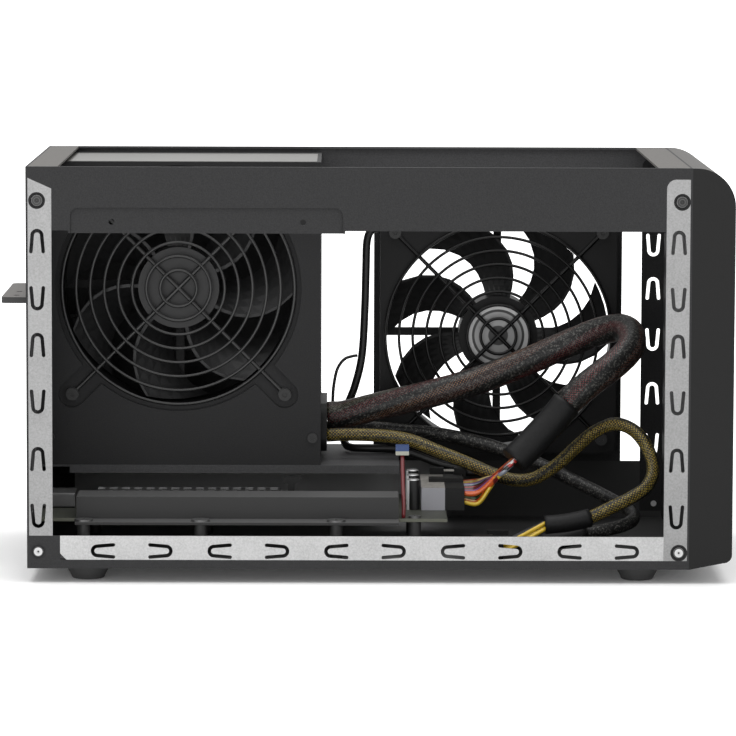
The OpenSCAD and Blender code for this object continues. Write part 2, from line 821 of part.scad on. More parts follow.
// One blade seen along the shaft: a thin crescent that sweeps back towards its tip
blade_sweep = 26;
blade_t = 1.6;
blade_twist = 30;
blade_steps = 5;
blade_len = 17;
blade_root = 1;
blade_points = 6;
blade_fn = 12;
function on_circle(r, a) = [r * cos(a), r * sin(a)];
function blade_angle(t) = blade_sweep * t * t;
function blade_radius(t) = hub_d / 2 - blade_root + (rotor_d / 2 - hub_d / 2 + blade_root) * t;
module blade_outline() {
    ts = [for (i = [0 : blade_points]) i / blade_points];
    polygon(concat(
        [for (t = ts) on_circle(blade_radius(t), blade_angle(t))],
        [for (i = [blade_points : -1 : 0]) on_circle(blade_radius(ts[i]),
            blade_angle(ts[i]) + blade_t / blade_radius(ts[i]) * half_turn / PI)]
    ));
}
module fan_rotor() {
    difference() {
        rod_y([0, hub_gap, 0], hub_d, hub_len);
        rod_y([0, hub_gap + hub_wall, 0], hub_d - 2 * hub_wall, hub_len);
    }
    rod_y([0, hub_gap + hub_wall / 2, 0], shaft_d, fan_depth - strut_t - hub_gap - hub_wall);
    for (i = [0 : blades - 1])
        translate([0, hub_gap + blade_len, 0]) rotate([right_angle, i * full_turn / blades, 0])
            linear_extrude(blade_len - blade_root, twist = blade_twist, slices = blade_steps, $fn = blade_fn)
                blade_outline();
}

guard_gap = 0.2;
eyelet_d = 6.4;
screw_head_d = 6;
screw_head_h = 1.6;
fan_screw_d = 4;
fan_screw_len = 8;
guard_first_r = 9;
ring_sink_share = 0.3;
// Wire guard: rings on two crossed legs that end in eyelets, all in front of the intake face
module fan_guard() {
    leg_len = fan_pitch / sqrt(2);
    for (i = [0 : guard_rings - 1])
        translate([0, -guard_leg - guard_wire * ring_sink_share, 0]) rotate([right_angle, 0, 0]) rotate_extrude()
            translate([guard_first_r + i * guard_pitch, 0]) circle(d = guard_wire, $fn = 16);
    for (a = [0 : 3]) rotate([0, right_angle * (a + 1 / 2), 0]) difference() {
        union() {
            rod_x([0, -guard_leg / 2, 0], guard_leg, leg_len - fan_screw_d / 2);
            translate([leg_len, -guard_leg, 0]) rod_y([0, 0, 0], eyelet_d, guard_leg);
        }
        rod_y([leg_len, -guard_leg - over, 0], fan_screw_d + guard_gap, guard_leg + 2 * over);
    }
}

module at_psu_fan() in_case() translate([psu_fan_x, psu_fan_y, psu_fan_z]) children();
module at_side_fan() in_case() translate([fan_x, fan_y, fan_z]) children();

module fan_screws(seat, reach) for (sx = [-1, 1], sz = [-1, 1])
    screw_y([sx * fan_pitch / 2, -seat, sz * fan_pitch / 2], screw_head_d, screw_head_h,
        fan_screw_d, reach, 1);

module psu_fan_frame() color("#1d1d1f") at_psu_fan() fan_frame();
module psu_fan_rotor() color("#28282b") at_psu_fan() fan_rotor();
module psu_fan_guard() color("#1d1d1f") at_psu_fan() translate([0, -psu_sheet, 0]) fan_guard();
module psu_guard_screws() color("#2a2a2c") at_psu_fan() fan_screws(guard_leg + psu_sheet, fan_screw_len);

module side_fan_frame() color("#1d1d1f") at_side_fan() fan_frame();
module side_fan_rotor() color("#28282b") at_side_fan() fan_rotor();
module side_fan_guard() color("#1d1d1f") at_side_fan() fan_guard();
module side_fan_screws() color("#2a2a2c") at_side_fan() fan_screws(guard_leg, fan_screw_len);
fan_label_d = 32;
module side_fan_label() color("#c4c4c6") at_side_fan()
    rod_y([0, hub_gap - label_t, 0], fan_label_d, label_t);

// BOARD

board_inset = 1;
board_x = x_in + board_inset;
board_near_inset = 25.8;
board_y = slot_y - board_near_inset;
board_x1 = board_x + board_len;
board_z0 = board_z - board_t;
board_hole_d = 3.4;
// The cover box stands over the board's near edge and has a flange in front of it
cover_x0 = 22;
cover_len = 155;
cover_w = 23;
cover_h = 10.5;
cover_wall = 1.2;
cover_gap = 0.2;
cover_y0 = board_y - cover_gap - cover_wall;
flange_w = 13.8;
flange_hole_inset = 5;

// Screws: three through the cover's flange, the rest through the board
near_hole_shares = [0.1209, 0.403, 0.7305];
far_hole_shares = [0.1209, 0.403, 0.7305, 0.921];
hole_y_inset = 3.5;
function flange_holes() = [for (s = near_hole_shares)
    [board_x + s * board_len, cover_y0 - flange_w + flange_hole_inset]];
function board_holes() = concat(
    [for (s = far_hole_shares) [board_x + s * board_len, board_y + board_w - hole_y_inset]],
    [[board_x + far_hole_shares[3] * board_len, board_y + hole_y_inset]]
);
module screw_holes(places, z, t)
    for (p = places)
        translate([p.x, p.y, z - over]) cylinder(h = t + 2 * over, d = board_hole_d);

module main_board() color("#151a17") in_case() difference() {
    block([board_x, board_y, board_z0], [board_x1, board_y + board_w, board_z]);
    screw_holes(board_holes(), board_z0, board_t);
}

module board_cover() color("#222224") in_case() difference() {
    union() {
        block([cover_x0, cover_y0, board_z], [cover_x0 + cover_len, cover_y0 + cover_w, board_z + cover_h]);
        block([cover_x0, cover_y0 - flange_w, board_z - cover_wall],
            [cover_x0 + cover_len, cover_y0 + cover_wall, board_z]);
    }
    block([cover_x0 + cover_wall, cover_y0 + cover_wall, board_z - over],
        [cover_x0 + cover_len - cover_wall, cover_y0 + cover_w - cover_wall, board_z + cover_h - cover_wall]);
    screw_holes(flange_holes(), board_z - cover_wall, cover_wall);
}

standoff_d = 6;
standoff_bore_d = 3;
module standoff(top) difference() {
    translate([0, 0, sheet_t]) cylinder(h = top - sheet_t, d = standoff_d);
    translate([0, 0, top / 2]) cylinder(h = top, d = standoff_bore_d);
}
module board_standoffs() color("#2e2e30") in_case() {
    for (p = flange_holes()) translate([p.x, p.y, 0]) standoff(board_z - cover_wall);
    for (p = board_holes()) translate([p.x, p.y, 0]) standoff(board_z0);
}

board_head_d = 6;
flange_head_d = 9;
board_head_h = 1;
board_screw_len = 6;
cross_w = 1;
cross_share = 0.55;
module board_screw(head_d) difference() {
    union() {
        cylinder(h = board_head_h, d = head_d);
        translate([0, 0, -board_screw_len]) cylinder(h = board_screw_len, d = standoff_bore_d);
    }
    for (a = [0, right_angle]) rotate(a)
        translate([0, 0, board_head_h]) cube([head_d * cross_share, cross_w, board_head_h], center = true);
}
module board_screws() color("#c9cbcd") in_case() {
    for (p = flange_holes()) translate([p.x, p.y, board_z]) board_screw(flange_head_d);
    for (p = board_holes()) translate([p.x, p.y, board_z]) board_screw(board_head_d);
}

// The x16 slot: a long block with a channel, its key and a row of contact windows along the rim
slot_x = 31;
slot_w = 7.4;
channel_w = 1.9;
channel_depth = 8.5;
channel_end = 2.2;
key_x = 14.6;
key_len = 1.8;
window_pitch = 5.5;
window_len = 3.6;
window_depth = 0.6;
latch_seat = 11;
latch_gap = 0.3;
latch_pin_d = 2.4;
latch_pin_z = 3.4;
latch_pin_dx = 5;
latch_fork = 1.4;
module slot_connector() color("#1b1b1d") in_case() {
    x1 = slot_x + slot_len;
    z1 = board_z + slot_h;
    difference() {
        block([slot_x, slot_y - slot_w / 2, board_z], [x1, slot_y + slot_w / 2, z1]);
        for (span = [[slot_x + channel_end, slot_x + key_x], [slot_x + key_x + key_len, x1 + over]])
            block([span[0], slot_y - channel_w / 2, z1 - channel_depth],
                [span[1], slot_y + channel_w / 2, z1 + over]);
        for (i = [0 : floor((slot_len - 2 * window_pitch) / window_pitch)], s = [-1, 1])
            translate([slot_x + window_pitch * (i + 1), slot_y + s * slot_w / 2, z1])
                cube([window_len, 2 * window_depth, 2 * window_depth], center = true);
    }
    difference() {
        block([x1, slot_y - slot_w / 2, board_z],
            [x1 + latch_seat, slot_y + slot_w / 2, board_z + slot_h / 2]);
        block([x1, slot_y - slot_w / 2 + latch_fork, board_z + latch_fork / 2],
            [x1 + latch_seat + over, slot_y + slot_w / 2 - latch_fork, z1]);
        rod_y([x1 + latch_pin_dx, slot_y - slot_w, board_z + latch_pin_z],
            latch_pin_d + 2 * shaft_fit, 2 * slot_w);
    }
}
latch_h = 13.5;
latch_t = 3.2;
latch_boss_share = 1.4;
latch_hook = 2;
latch_tab = 5;
// The latch swings out about its pin; its tab points away from the card
module slot_latch() color("#242426") in_case()
    translate([slot_x + slot_len + latch_pin_dx, slot_y, board_z + latch_pin_z]) {
        half = slot_w / 2 - latch_fork - latch_gap;
        rod_y([0, -slot_w / 2, 0], latch_pin_d, slot_w);
        translate([0, half, 0]) rotate([right_angle, 0, 0]) linear_extrude(2 * half) {
            circle(d = latch_t * latch_boss_share);
            polygon([
                [-latch_t / 2, 0], [latch_t / 2, 0], [latch_t / 2, latch_h - latch_t],
                [latch_tab, latch_h - latch_t / 2], [latch_tab, latch_h],
                [-latch_t / 2 - latch_hook, latch_h], [-latch_t / 2 - latch_hook, latch_h - latch_t],
                [-latch_t / 2, latch_h - latch_t]
            ]);
        }
    }

port_len = 19;
port_wall = 0.8;
port_tongue_h = 1.4;
module host_port() color("#6f7276") in_case() difference() {
    sheet_x(0, port_len) round_rect([port_y, board_z], [port_y + port_w, board_z + port_h], port_r);
    difference() {
        block([-over, port_y + port_wall, board_z + port_wall],
            [port_len - port_wall, port_y + port_w - port_wall, board_z + port_h - port_wall]);
        block([port_wall, port_y, board_z + (port_h - port_tongue_h) / 2],
            [port_len, port_y + port_w, board_z + (port_h + port_tongue_h) / 2]);
    }
}

// Right-angle power header and the plug in it
header_inset = 12;
header_x = board_x1 - header_inset;
header_len = 11.5;
header_near_inset = 29.8;
header_y = board_y + header_near_inset;
header_w = 51.6;
header_z = board_z;
header_h = 11;
plug_depth = 9.5;
plug_gap = 0.1;
header_wall = 1;
header_floor = 4;
module power_header() color("#d9d6c8") in_case() difference() {
    block([header_x, header_y, header_z], [header_x + header_len, header_y + header_w, header_z + header_h]);
    block([header_x + header_floor, header_y + header_wall, header_z + header_wall],
        [header_x + header_len + over, header_y + header_w - header_wall,
            header_z + header_h - header_wall]);
}
plug_x1 = header_x + header_len + plug_depth;
plug_latch_w = 8;
plug_latch_h = 1.8;
module atx_plug() color("#161618") in_case() {
    y0 = header_y + header_wall + plug_gap;
    y1 = header_y + header_w - header_wall - plug_gap;
    z0 = header_z + header_wall + plug_gap;
    z1 = header_z + header_h - header_wall - plug_gap;
    block([header_x + header_floor, y0, z0], [plug_x1, y1, z1]);
    block([header_x + header_len + plug_gap, header_y, header_z],
        [plug_x1, header_y + header_w, header_z + header_h]);
    block([header_x + header_floor, (y0 + y1 - plug_latch_w) / 2, header_z + header_h],
        [plug_x1, (y0 + y1 + plug_latch_w) / 2, header_z + header_h + plug_latch_h]);
}

// Three-pin header behind the power header: its body, its bent pins and the fan's plug on them
fan_header_gap = 2.6;
fan_header_len = 7;
fan_header_x = board_x1 - fan_header_len;
fan_header_y = header_y + header_w + fan_header_gap;
fan_header_w = 5.5;
fan_header_h = 13.7;
fan_pin_t = 0.6;
fan_pin_drop = 1;
fan_pin_len = 5.2;
fan_pin_pitch = 1.7;
fan_plug_len = 5.9;
fan_plug_h = 5;
fan_plug_x1 = board_x1 + fan_pin_len + fan_plug_len;
module fan_header() color("#202022") in_case() {
    top = board_z + fan_header_h;
    block([fan_header_x, fan_header_y, board_z], [board_x1, fan_header_y + fan_header_w, top]);
    for (i = [-1 : 1])
        block([board_x1 - over, fan_header_y + fan_header_w / 2 + i * fan_pin_pitch - fan_pin_t / 2,
                top - fan_pin_drop - fan_pin_t],
            [board_x1 + fan_pin_len + over, fan_header_y + fan_header_w / 2 + i * fan_pin_pitch + fan_pin_t / 2,
                top - fan_pin_drop]);
    block([board_x1 + fan_pin_len, fan_header_y, top - fan_plug_h],
        [fan_plug_x1, fan_header_y + fan_header_w, top]);
}

cap_d = 6.3;
cap_h = 15;
cap_offset = 4;
cap_x = header_x - cap_offset;
cap_rim = 0.5;
cap_y_shares = [0.07, 0.42, 0.77];
module board_capacitors() color("#b9bbbe") in_case() for (s = cap_y_shares)
    translate([cap_x, header_y + s * header_w, board_z]) rotate_extrude() polygon([
        [0, 0], [cap_d / 2, 0], [cap_d / 2, cap_h - cap_rim], [cap_d / 2 - cap_rim, cap_h], [0, cap_h]
    ]);

// CORDS: tubes swept along points in the floor frame, millimetres

function unit(v) = v / norm(v);
function way(p, i) =
    i == 0 ? unit(p[1] - p[0]) :
    i == len(p) - 1 ? unit(p[i] - p[i - 1]) :
    unit(unit(p[i + 1] - p[i]) + unit(p[i] - p[i - 1]));
function square_to(t, s) = unit(s - (s * t) * t);
function at_ring(v, i) = is_list(v) ? v[i] : v;

// rs is the half width along the side direction and ru the one across it: a value, or one per point
// way0 and way1 set the direction at the ends, so that they lie flat on what they meet
// aim sets the direction between the ends
module tube(p, rs, ru, n, way0 = undef, way1 = undef, aim = undef) {
    last = len(p) - 1;
    function way_at(i) =
        i == 0 && !is_undef(way0) ? way0 :
        i == last && !is_undef(way1) ? way1 :
        i > 0 && !is_undef(aim) ? aim : way(p, i);
    ss = [for (i = 0, s = square_to(way_at(0), across); i <= last;
        i = i + 1, s = i <= last ? square_to(way_at(i), is_undef(aim) ? s : across) : s) s];
    pts = [for (i = [0 : last], k = [0 : n - 1])
        p[i] + at_ring(rs, i) * cos(k * full_turn / n) * ss[i]
            + at_ring(ru, i) * sin(k * full_turn / n) * cross(way_at(i), ss[i])];
    function id(i, k) = i * n + k % n;
    faces = concat(
        [[for (k = [0 : n - 1]) id(0, k)]],
        [[for (k = [n - 1 : -1 : 0]) id(last, k)]],
        [for (i = [0 : last - 1], k = [0 : n - 1]) each
            [[id(i, k), id(i + 1, k), id(i + 1, k + 1)], [id(i, k), id(i + 1, k + 1), id(i, k + 1)]]]
    );
    polyhedron(pts, faces, convexity = 8);
}

across = [0, 1, 0];
forwards = [1, 0, 0];
upwards = [0, 0, 1];
atx_cable_d = 14;
atx_route = [
    [-19.5, 41, 65.5], [-9, 41, 66.5], [12, 39, 72], [32, 36, 77], [57, 34, 84.5], [82, 33, 94.5],
    [103, 31, 104], [117, 26, 110], [127, 17, 112.5], [131, 5, 110], [129.5, -7, 104.5], [122, -15, 98],
    [111, -19, 90], [98, -20, 79]
];
module atx_cable() color("#3a2a26")
    tube(atx_route, atx_cable_d / 2, atx_cable_d / 2, 12, forwards, way(shrink_route, 0));

shrink_d = 15;
shrink_route = [[98, -20, 79], [91, -22, 70.5], [81, -25, 60], [72, -28, 51.5]];
module atx_heat_shrink() color("#1c1c1e")
    tube(shrink_route, shrink_d / 2, shrink_d / 2, 12, undef, way(wires_route, 0));

// Loose wires spread from the sleeve to the plug's full width
wires_route = [[72, -28, 51.5], [66, -24, 45.5], [60, -16.5, 39.5], [54, -8.5, 34.5], [48, -4.7, 32.9]];
wires_half_w = [6.5, 9, 15, 21, 23];
wires_half_h = [6.5, 7.5, 6.5, 5, 4];
module atx_wires() color("#c9542e")
    tube(wires_route, wires_half_w, wires_half_h, 12, undef, -forwards, -forwards);

pcie_cable_d = 6.5;
upper_route = [
    [-19.5, 24, 57.5], [-9, 24, 58], [8, 23, 57.5], [22, 21, 55.5], [36, 17, 50.5], [50, 12, 45.5],
    [63, 7, 40.5], [73, 4, 38], [83, 1, 39], [94, -2, 46], [103, -6, 55], [112, -11, 63.5],
    [122, -17, 68.5], [131, -24, 66], [137, -31, 58.5], [139.5, -38, 48.5], [136, -44, 41], [128, -48, 36],
    [118, -51, 31.5], [108, -53, 27]
];
module upper_pcie_lead() color("#6f6226")
    tube(upper_route, pcie_cable_d / 2, pcie_cable_d / 2, 8, forwards, way(upper_shrink_route, 0));
pcie_shrink_d = 9;
upper_shrink_route = [[108, -53, 27], [97, -55.5, 25], [86, -56.5, 24]];
module upper_pcie_shrink() color("#1c1c1e")
    tube(upper_shrink_route, pcie_shrink_d / 2, pcie_shrink_d / 2, 8, undef, -forwards);

lower_route = [
    [-19.5, 56, 57.5], [-9, 56, 58], [15, 50, 57.5], [38, 43, 56], [58, 36, 52.5], [75, 30, 47.5],
    [90, 24, 42], [108, 16, 34], [122, 5, 28], [130, -9, 24.5], [131, -22, 22], [125, -31, 20],
    [116, -35, 18.5], [107, -36.5, 17.5]
];
module lower_pcie_lead() color("#3c3822")
    tube(lower_route, pcie_cable_d / 2, pcie_cable_d / 2, 8, forwards, way(lower_shrink_route, 0));
lower_shrink_route = [[107, -36.5, 17.5], [96, -37.5, 14.5], [85, -38, 13]];
module lower_pcie_shrink() color("#1c1c1e")
    tube(lower_shrink_route, pcie_shrink_d / 2, pcie_shrink_d / 2, 8, undef, -forwards);

// A free plug with its short run of bare wires, at the end of a lead that comes from +X
card_plug_len = 15;
card_plug_w = 17;
card_plug_h = 8.5;
card_latch_w = 6;
card_latch_h = 2.2;
card_wires_share = 0.4;
card_wires_end_share = 0.45;
module card_plug(end, front) {
    tube([end, (end + front) / 2, front],
        [pcie_shrink_d / 2, card_plug_w * card_wires_share, card_plug_w * card_wires_end_share],
        [pcie_shrink_d / 2, card_plug_h * card_wires_share, card_plug_h * card_wires_share],
        8, -forwards, -forwards);
    block(front - [card_plug_len, card_plug_w / 2, card_plug_h / 2],
        front + [0, card_plug_w / 2, card_plug_h / 2]);
    block(front + [-card_plug_len, -card_latch_w / 2, card_plug_h / 2],
        front + [-card_plug_len / 3, card_latch_w / 2, card_plug_h / 2 + card_latch_h]);
}
upper_plug_end = [86, -56.5, 24];
upper_plug_front = [66, -56.5, 12.5];
lower_plug_end = [85, -38, 13];
lower_plug_front = [74, -38, 12.5];
module upper_pcie_plug() color("#161618") card_plug(upper_plug_end, upper_plug_front);
module lower_pcie_plug() color("#161618") card_plug(lower_plug_end, lower_plug_front);

// The side fan's lead, and a thin lead from the grommet that runs up to it
fan_lead_d = 4;
fan_route = [
    [7.2, 64, 158], [3, 64, 157.5], [0.5, 63.5, 152], [0, 63, 138], [-0.5, 62.5, 118], [-1.9, 62.3, 94],
    [-5.5, 62.5, 78], [-10, 62.5, 66], [-11.5, 62.5, 56], [-10.5, 60, 49.5], [-7, 53, 47.8], [4, 50, 47.8],
    [16, 49, 47.6], [25, 47.5, 45], [40, 44, 40], [56, 38, 38], [64, 31.5, 38], [60.5, 27, 38.3],
    [50.1, 26.45, 38.6]
];
sense_d = 1.6;
sense_route = [
    [-19.5, 54, 68], [-17, 54, 68.5], [-16.3, 55, 78], [-14.5, 57, 87], [-11, 59, 92], [-7, 60.5, 93.5],
    [-4.4, 61.5, 93.8]
];
module fan_lead() color("#1a1a1c") {
    tube(fan_route, fan_lead_d / 2, fan_lead_d / 2, 8, -forwards, -forwards);
    tube(sense_route, sense_d / 2, sense_d / 2, 8, forwards);
}

indicator_half_w = 1.7;
indicator_half_t = 1;
indicator_route = [[17.9, -57.5, 27.4], [17.9, -57.5, 36], [17.5, -57, 47], [17.2, -56.5, 58]];
module indicator_lead() color("#4a2019")
    tube(indicator_route, indicator_half_t, indicator_half_w, 8, upwards, upwards);
indicator_plug_size = [6.4, 4.5, 4.8];
indicator_top = indicator_route[len(indicator_route) - 1];
module indicator_plug() color("#2b4f86")
    translate(indicator_top - [indicator_plug_size.x / 2, indicator_plug_size.y / 2, 0])
        cube(indicator_plug_size);

base_tray();
back_panel();
front_panel();
near_top_beam();
far_top_beam();
rear_top_strap();
front_top_strap();
fan_plate();
psu_shelf();
bracket_shelf();
front_bezel();
feet();
near_rear_rail();
near_front_rail();
near_bottom_rail();
far_rear_rail();
far_front_rail();
side_screws();
psu_cover();
psu_base();
psu_label();
psu_fan_frame();
psu_fan_rotor();
psu_fan_guard();
psu_guard_screws();
psu_cover_screws();
psu_mount_screws();
power_inlet();
inlet_pins();
switch_housing();
switch_rocker();
cable_grommet();
side_fan_frame();
side_fan_rotor();
side_fan_guard();
side_fan_screws();
side_fan_label();
main_board();
board_standoffs();
board_screws();
board_cover();
slot_connector();
slot_latch();
host_port();
power_header();
fan_header();
board_capacitors();
atx_plug();
atx_cable();
atx_heat_shrink();
atx_wires();
upper_pcie_lead();
upper_pcie_shrink();
upper_pcie_plug();
lower_pcie_lead();
lower_pcie_shrink();
lower_pcie_plug();
fan_lead();
indicator_lead();
indicator_plug();
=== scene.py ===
"""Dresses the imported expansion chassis: materials, sleeved cables, loose wires, floor, light and camera."""

import math
import random

import bpy
from mathutils import Matrix, Vector


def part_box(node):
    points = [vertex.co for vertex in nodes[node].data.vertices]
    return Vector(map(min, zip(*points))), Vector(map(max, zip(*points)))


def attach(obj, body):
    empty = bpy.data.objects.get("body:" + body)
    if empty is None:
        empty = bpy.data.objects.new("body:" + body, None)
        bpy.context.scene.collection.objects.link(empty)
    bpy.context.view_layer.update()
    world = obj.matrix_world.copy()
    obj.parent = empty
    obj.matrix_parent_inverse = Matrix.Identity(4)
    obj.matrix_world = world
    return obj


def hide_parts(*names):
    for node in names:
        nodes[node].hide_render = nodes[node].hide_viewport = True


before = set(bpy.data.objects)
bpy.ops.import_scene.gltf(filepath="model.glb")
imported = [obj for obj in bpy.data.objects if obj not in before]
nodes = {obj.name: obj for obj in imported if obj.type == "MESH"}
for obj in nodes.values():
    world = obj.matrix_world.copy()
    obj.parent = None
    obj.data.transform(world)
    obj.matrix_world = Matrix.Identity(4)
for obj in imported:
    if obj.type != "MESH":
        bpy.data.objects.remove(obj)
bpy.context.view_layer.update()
draw = random.Random(7)
MM = 0.001

# The least share of a face's normal along an axis: to lean that way, and to be square to it
LEANS, SQUARE = 0.5, 0.98
# The depth of the fine grain of paint and plastic, of bare zinc, and of a cable's mesh, in metres
PAINT_GRAIN, ZINC_GRAIN, MESH_DEPTH = 0.00025, 0.0002, 0.0008


# ---------- materials ----------
class Shader:
    """A node tree with one Principled shader, and short ways to add to it."""

    COLOR_A, COLOR_B, COLOR_RESULT = 6, 7, 2

    def __init__(self, name, color, rough, metal=0.0, specular=0.5, coat=0.0):
        self.material = bpy.data.materials.new(name)
        self.material.use_nodes = True
        self.tree = self.material.node_tree
        self.main = self.tree.nodes["Principled BSDF"]
        self.main.inputs["Base Color"].default_value = (*color, 1.0)
        self.main.inputs["Roughness"].default_value = rough
        self.main.inputs["Metallic"].default_value = metal
        self.main.inputs["Specular IOR Level"].default_value = specular
        self.main.inputs["Coat Weight"].default_value = coat
        self.material.diffuse_color = (*color, 1.0)

    def add(self, kind, **values):
        node = self.tree.nodes.new(kind)
        for key, value in values.items():
            setattr(node, key, value)
        return node

    def link(self, a, b):
        self.tree.links.new(a, b)

    def place(self, kind="Object"):
        if not hasattr(self, "_coord"):
            self._coord = self.add("ShaderNodeTexCoord")
        return self._coord.outputs[kind]

    def split(self, vector):
        """A vector's X, Y and Z."""
        n = self.add("ShaderNodeSeparateXYZ")
        self.link(vector, n.inputs["Vector"])
        return n.outputs

    def normal(self):
        """X, Y and Z of the face's own normal."""
        return self.split(self.add("ShaderNodeNewGeometry").outputs["True Normal"])

    def distance(self, center):
        """How far a place is from the given one, in metres."""
        n = self.add("ShaderNodeVectorMath", operation="DISTANCE")
        self.link(self.place(), n.inputs[0])
        n.inputs[1].default_value = center
        return n.outputs["Value"]

    def noise(self, scale, detail=2.0, rough=0.5):
        n = self.add("ShaderNodeTexNoise")
        n.inputs["Scale"].default_value = scale
        n.inputs["Detail"].default_value = detail
        n.inputs["Roughness"].default_value = rough
        self.link(self.place(), n.inputs["Vector"])
        return n.outputs["Fac"]

    def math(self, op, a, b=None, clamp=False):
        n = self.add("ShaderNodeMath", operation=op, use_clamp=clamp)
        for i, v in enumerate((a, b)):
            if v is None:
                continue
            if isinstance(v, (int, float)):
                n.inputs[i].default_value = v
            else:
                self.link(v, n.inputs[i])
        return n.outputs[0]

    def above(self, value, limit):
        """1 where the value is above the limit, 0 elsewhere."""
        return self.math("GREATER_THAN", value, limit)

    def ramp(self, source, stops, mode="LINEAR"):
        n = self.add("ShaderNodeValToRGB")
        n.color_ramp.interpolation = mode
        elements = n.color_ramp.elements
        elements[-1].position = stops[-1][0]
        elements[0].position = stops[0][0]
        for place, _ in stops[1:-1]:
            elements.new(place)
        for e, (_, color) in zip(elements, stops):
            e.color = (*color, 1.0)
        self.link(source, n.inputs["Fac"])
        return n.outputs["Color"]

    def mix(self, fac, a, b):
        n = self.add("ShaderNodeMix", data_type="RGBA")
        sockets = (n.inputs["Factor"], n.inputs[self.COLOR_A], n.inputs[self.COLOR_B])
        for socket, v in zip(sockets, (fac, a, b)):
            if isinstance(v, tuple):
                socket.default_value = (*v, 1.0)
            else:
                self.link(v, socket)
        return n.outputs[self.COLOR_RESULT]

    def color(self, socket):
        self.link(socket, self.main.inputs["Base Color"])

    def rough(self, socket, low, high):
        n = self.add("ShaderNodeMapRange")
        n.inputs["To Min"].default_value = low
        n.inputs["To Max"].default_value = high
        self.link(socket, n.inputs["Value"])
        self.link(n.outputs["Result"], self.main.inputs["Roughness"])

    def bump(self, height, strength, distance):
        n = self.add("ShaderNodeBump")
        n.inputs["Strength"].default_value = strength
        n.inputs["Distance"].default_value = distance
        self.link(height, n.inputs["Height"])
        self.link(n.outputs["Normal"], self.main.inputs["Normal"])


def gray(v, tint=(1.0, 1.0, 1.0)):
    return tuple(v * t for t in tint)


def powder(name, value, rough, grain=1500.0, strength=0.25, tint=(1.0, 1.0, 1.03), specular=0.5):
    """Paint or plastic with a fine grain."""
    s = Shader(name, gray(value, tint), rough, specular=specular)
    fine = s.noise(grain, 3.0, 0.6)
    s.color(s.ramp(fine, [(0.3, gray(value * 0.8, tint)), (0.7, gray(value * 1.2, tint))]))
    s.bump(fine, strength, PAINT_GRAIN)
    return s.material


def plain(name, color, rough, **more):
    return Shader(name, color, rough, **more).material


def zinc(name, value, rough=0.42, metal=0.75):
    """Bare zinc-coated steel, with a fine grain over wide, faint clouds."""
    s = Shader(name, gray(value), rough, metal=metal)
    grain = s.noise(1100.0, 4.0, 0.7)
    wide = s.noise(60.0, 2.0, 0.5)
    both = s.math("ADD", s.math("MULTIPLY", grain, 0.75), s.math("MULTIPLY", wide, 0.25))
    tones = [(0.36, gray(value * 0.82)), (0.5, gray(value)), (0.64, gray(min(1.0, value * 1.15)))]
    s.color(s.ramp(both, tones))
    s.rough(both, rough - 0.08, rough + 0.1)
    s.bump(grain, 0.12, ZINC_GRAIN)
    return s.material


case_paint = powder("case_paint", 0.030, 0.6, specular=0.16)
inner_paint = powder("inner_paint", 0.018, 0.6, strength=0.15, specular=0.15)
# A lighter copy of the black case paint: painted light on the shelf lip and the far top beam
lit_shelf_lip_paint = powder("lit_shelf_lip_paint", 0.058, 0.6, specular=0.16)
beam_paint = powder("beam_paint", 0.029, 0.6, strength=0.3, specular=0.16)
psu_paint = powder("psu_paint", 0.019, 0.55, grain=1800.0, strength=0.2, specular=0.15)
strap_paint = powder("strap_paint", 0.086, 0.55, tint=(1.04, 0.98, 0.9), strength=0.15, specular=0.3)
blade_plastic = powder("blade_plastic", 0.013, 0.4, strength=0.05, specular=0.3)
fan_plastic = powder("fan_plastic", 0.006, 0.5, strength=0.05, specular=0.15)
heat_shrink = powder("heat_shrink_rubber", 0.009, 0.5, grain=700.0, strength=0.3, specular=0.18)
rail_steel = zinc("rail_steel", 0.26)
# The bottom rail's zinc is a lighter copy of the rails' zinc: painted light
lit_bottom_rail_steel = zinc("lit_bottom_rail_steel", 0.43)
screw_zinc = zinc("screw_zinc", 0.32, 0.35, 0.9)
# A darker copy of the screw zinc: painted shade on the board's screws
shaded_zinc = zinc("shaded_zinc", 0.13, 0.4, 0.8)
standoff_metal = plain("standoff_metal", gray(0.03), 0.5)
screw_black = plain("screw_black", gray(0.012), 0.4, specular=0.3)
rubber = plain("foot_rubber", gray(0.065), 0.8, specular=0.3)
guard_wire = plain("guard_wire", gray(0.002), 0.32, specular=0.22)
bright_wire = plain("bright_wire", gray(0.016), 0.28, specular=0.4)
black_plastic = plain("black_plastic", gray(0.009), 0.5, specular=0.18)
port_steel = plain("port_steel", gray(0.10), 0.4, metal=0.6)
pin_brass = plain("pin_brass", (0.75, 0.6, 0.35), 0.3, metal=1.0)
pin_tin = plain("pin_tin", gray(0.5, (1.0, 0.97, 0.9)), 0.35, metal=0.6)
can_metal = plain("can_metal", gray(0.35), 0.35, metal=0.6)
can_sleeve = plain("can_sleeve", gray(0.01), 0.35, specular=0.3)
can_stripe = plain("can_stripe", gray(0.75), 0.4)
dark_wire = plain("dark_wire", gray(0.008), 0.4, specular=0.3)


def by_normal(name, top, side, rough, spots=0.25):
    """One colour on the faces that look up or down, another on the rest."""
    s = Shader(name, side, rough)
    level = s.above(s.math("ABSOLUTE", s.normal()["Z"]), LEANS)
    mottle = s.noise(420.0, 3.0, 0.6)
    spotted = s.ramp(mottle, [(0.35, gray(1 - spots, top)), (0.65, gray(1 + spots, top))])
    s.color(s.mix(level, side, spotted))
    return s.material


board_mask = by_normal("board_mask", (0.030, 0.032, 0.024), (0.12, 0.125, 0.095), 0.5)
natural = by_normal("natural_plastic", (0.22, 0.21, 0.195), (0.29, 0.29, 0.315), 0.45)
# The cover's and the bracket shelf's lighter tops are painted light, on one dark plastic and one dark paint
cover_lit_top_plastic = by_normal("cover_lit_top_plastic", gray(0.060), gray(0.012), 0.6, 0.06)
shelf_lit_top_paint = by_normal("shelf_lit_top_paint", (0.155, 0.146, 0.14), gray(0.022), 0.6, 0.06)


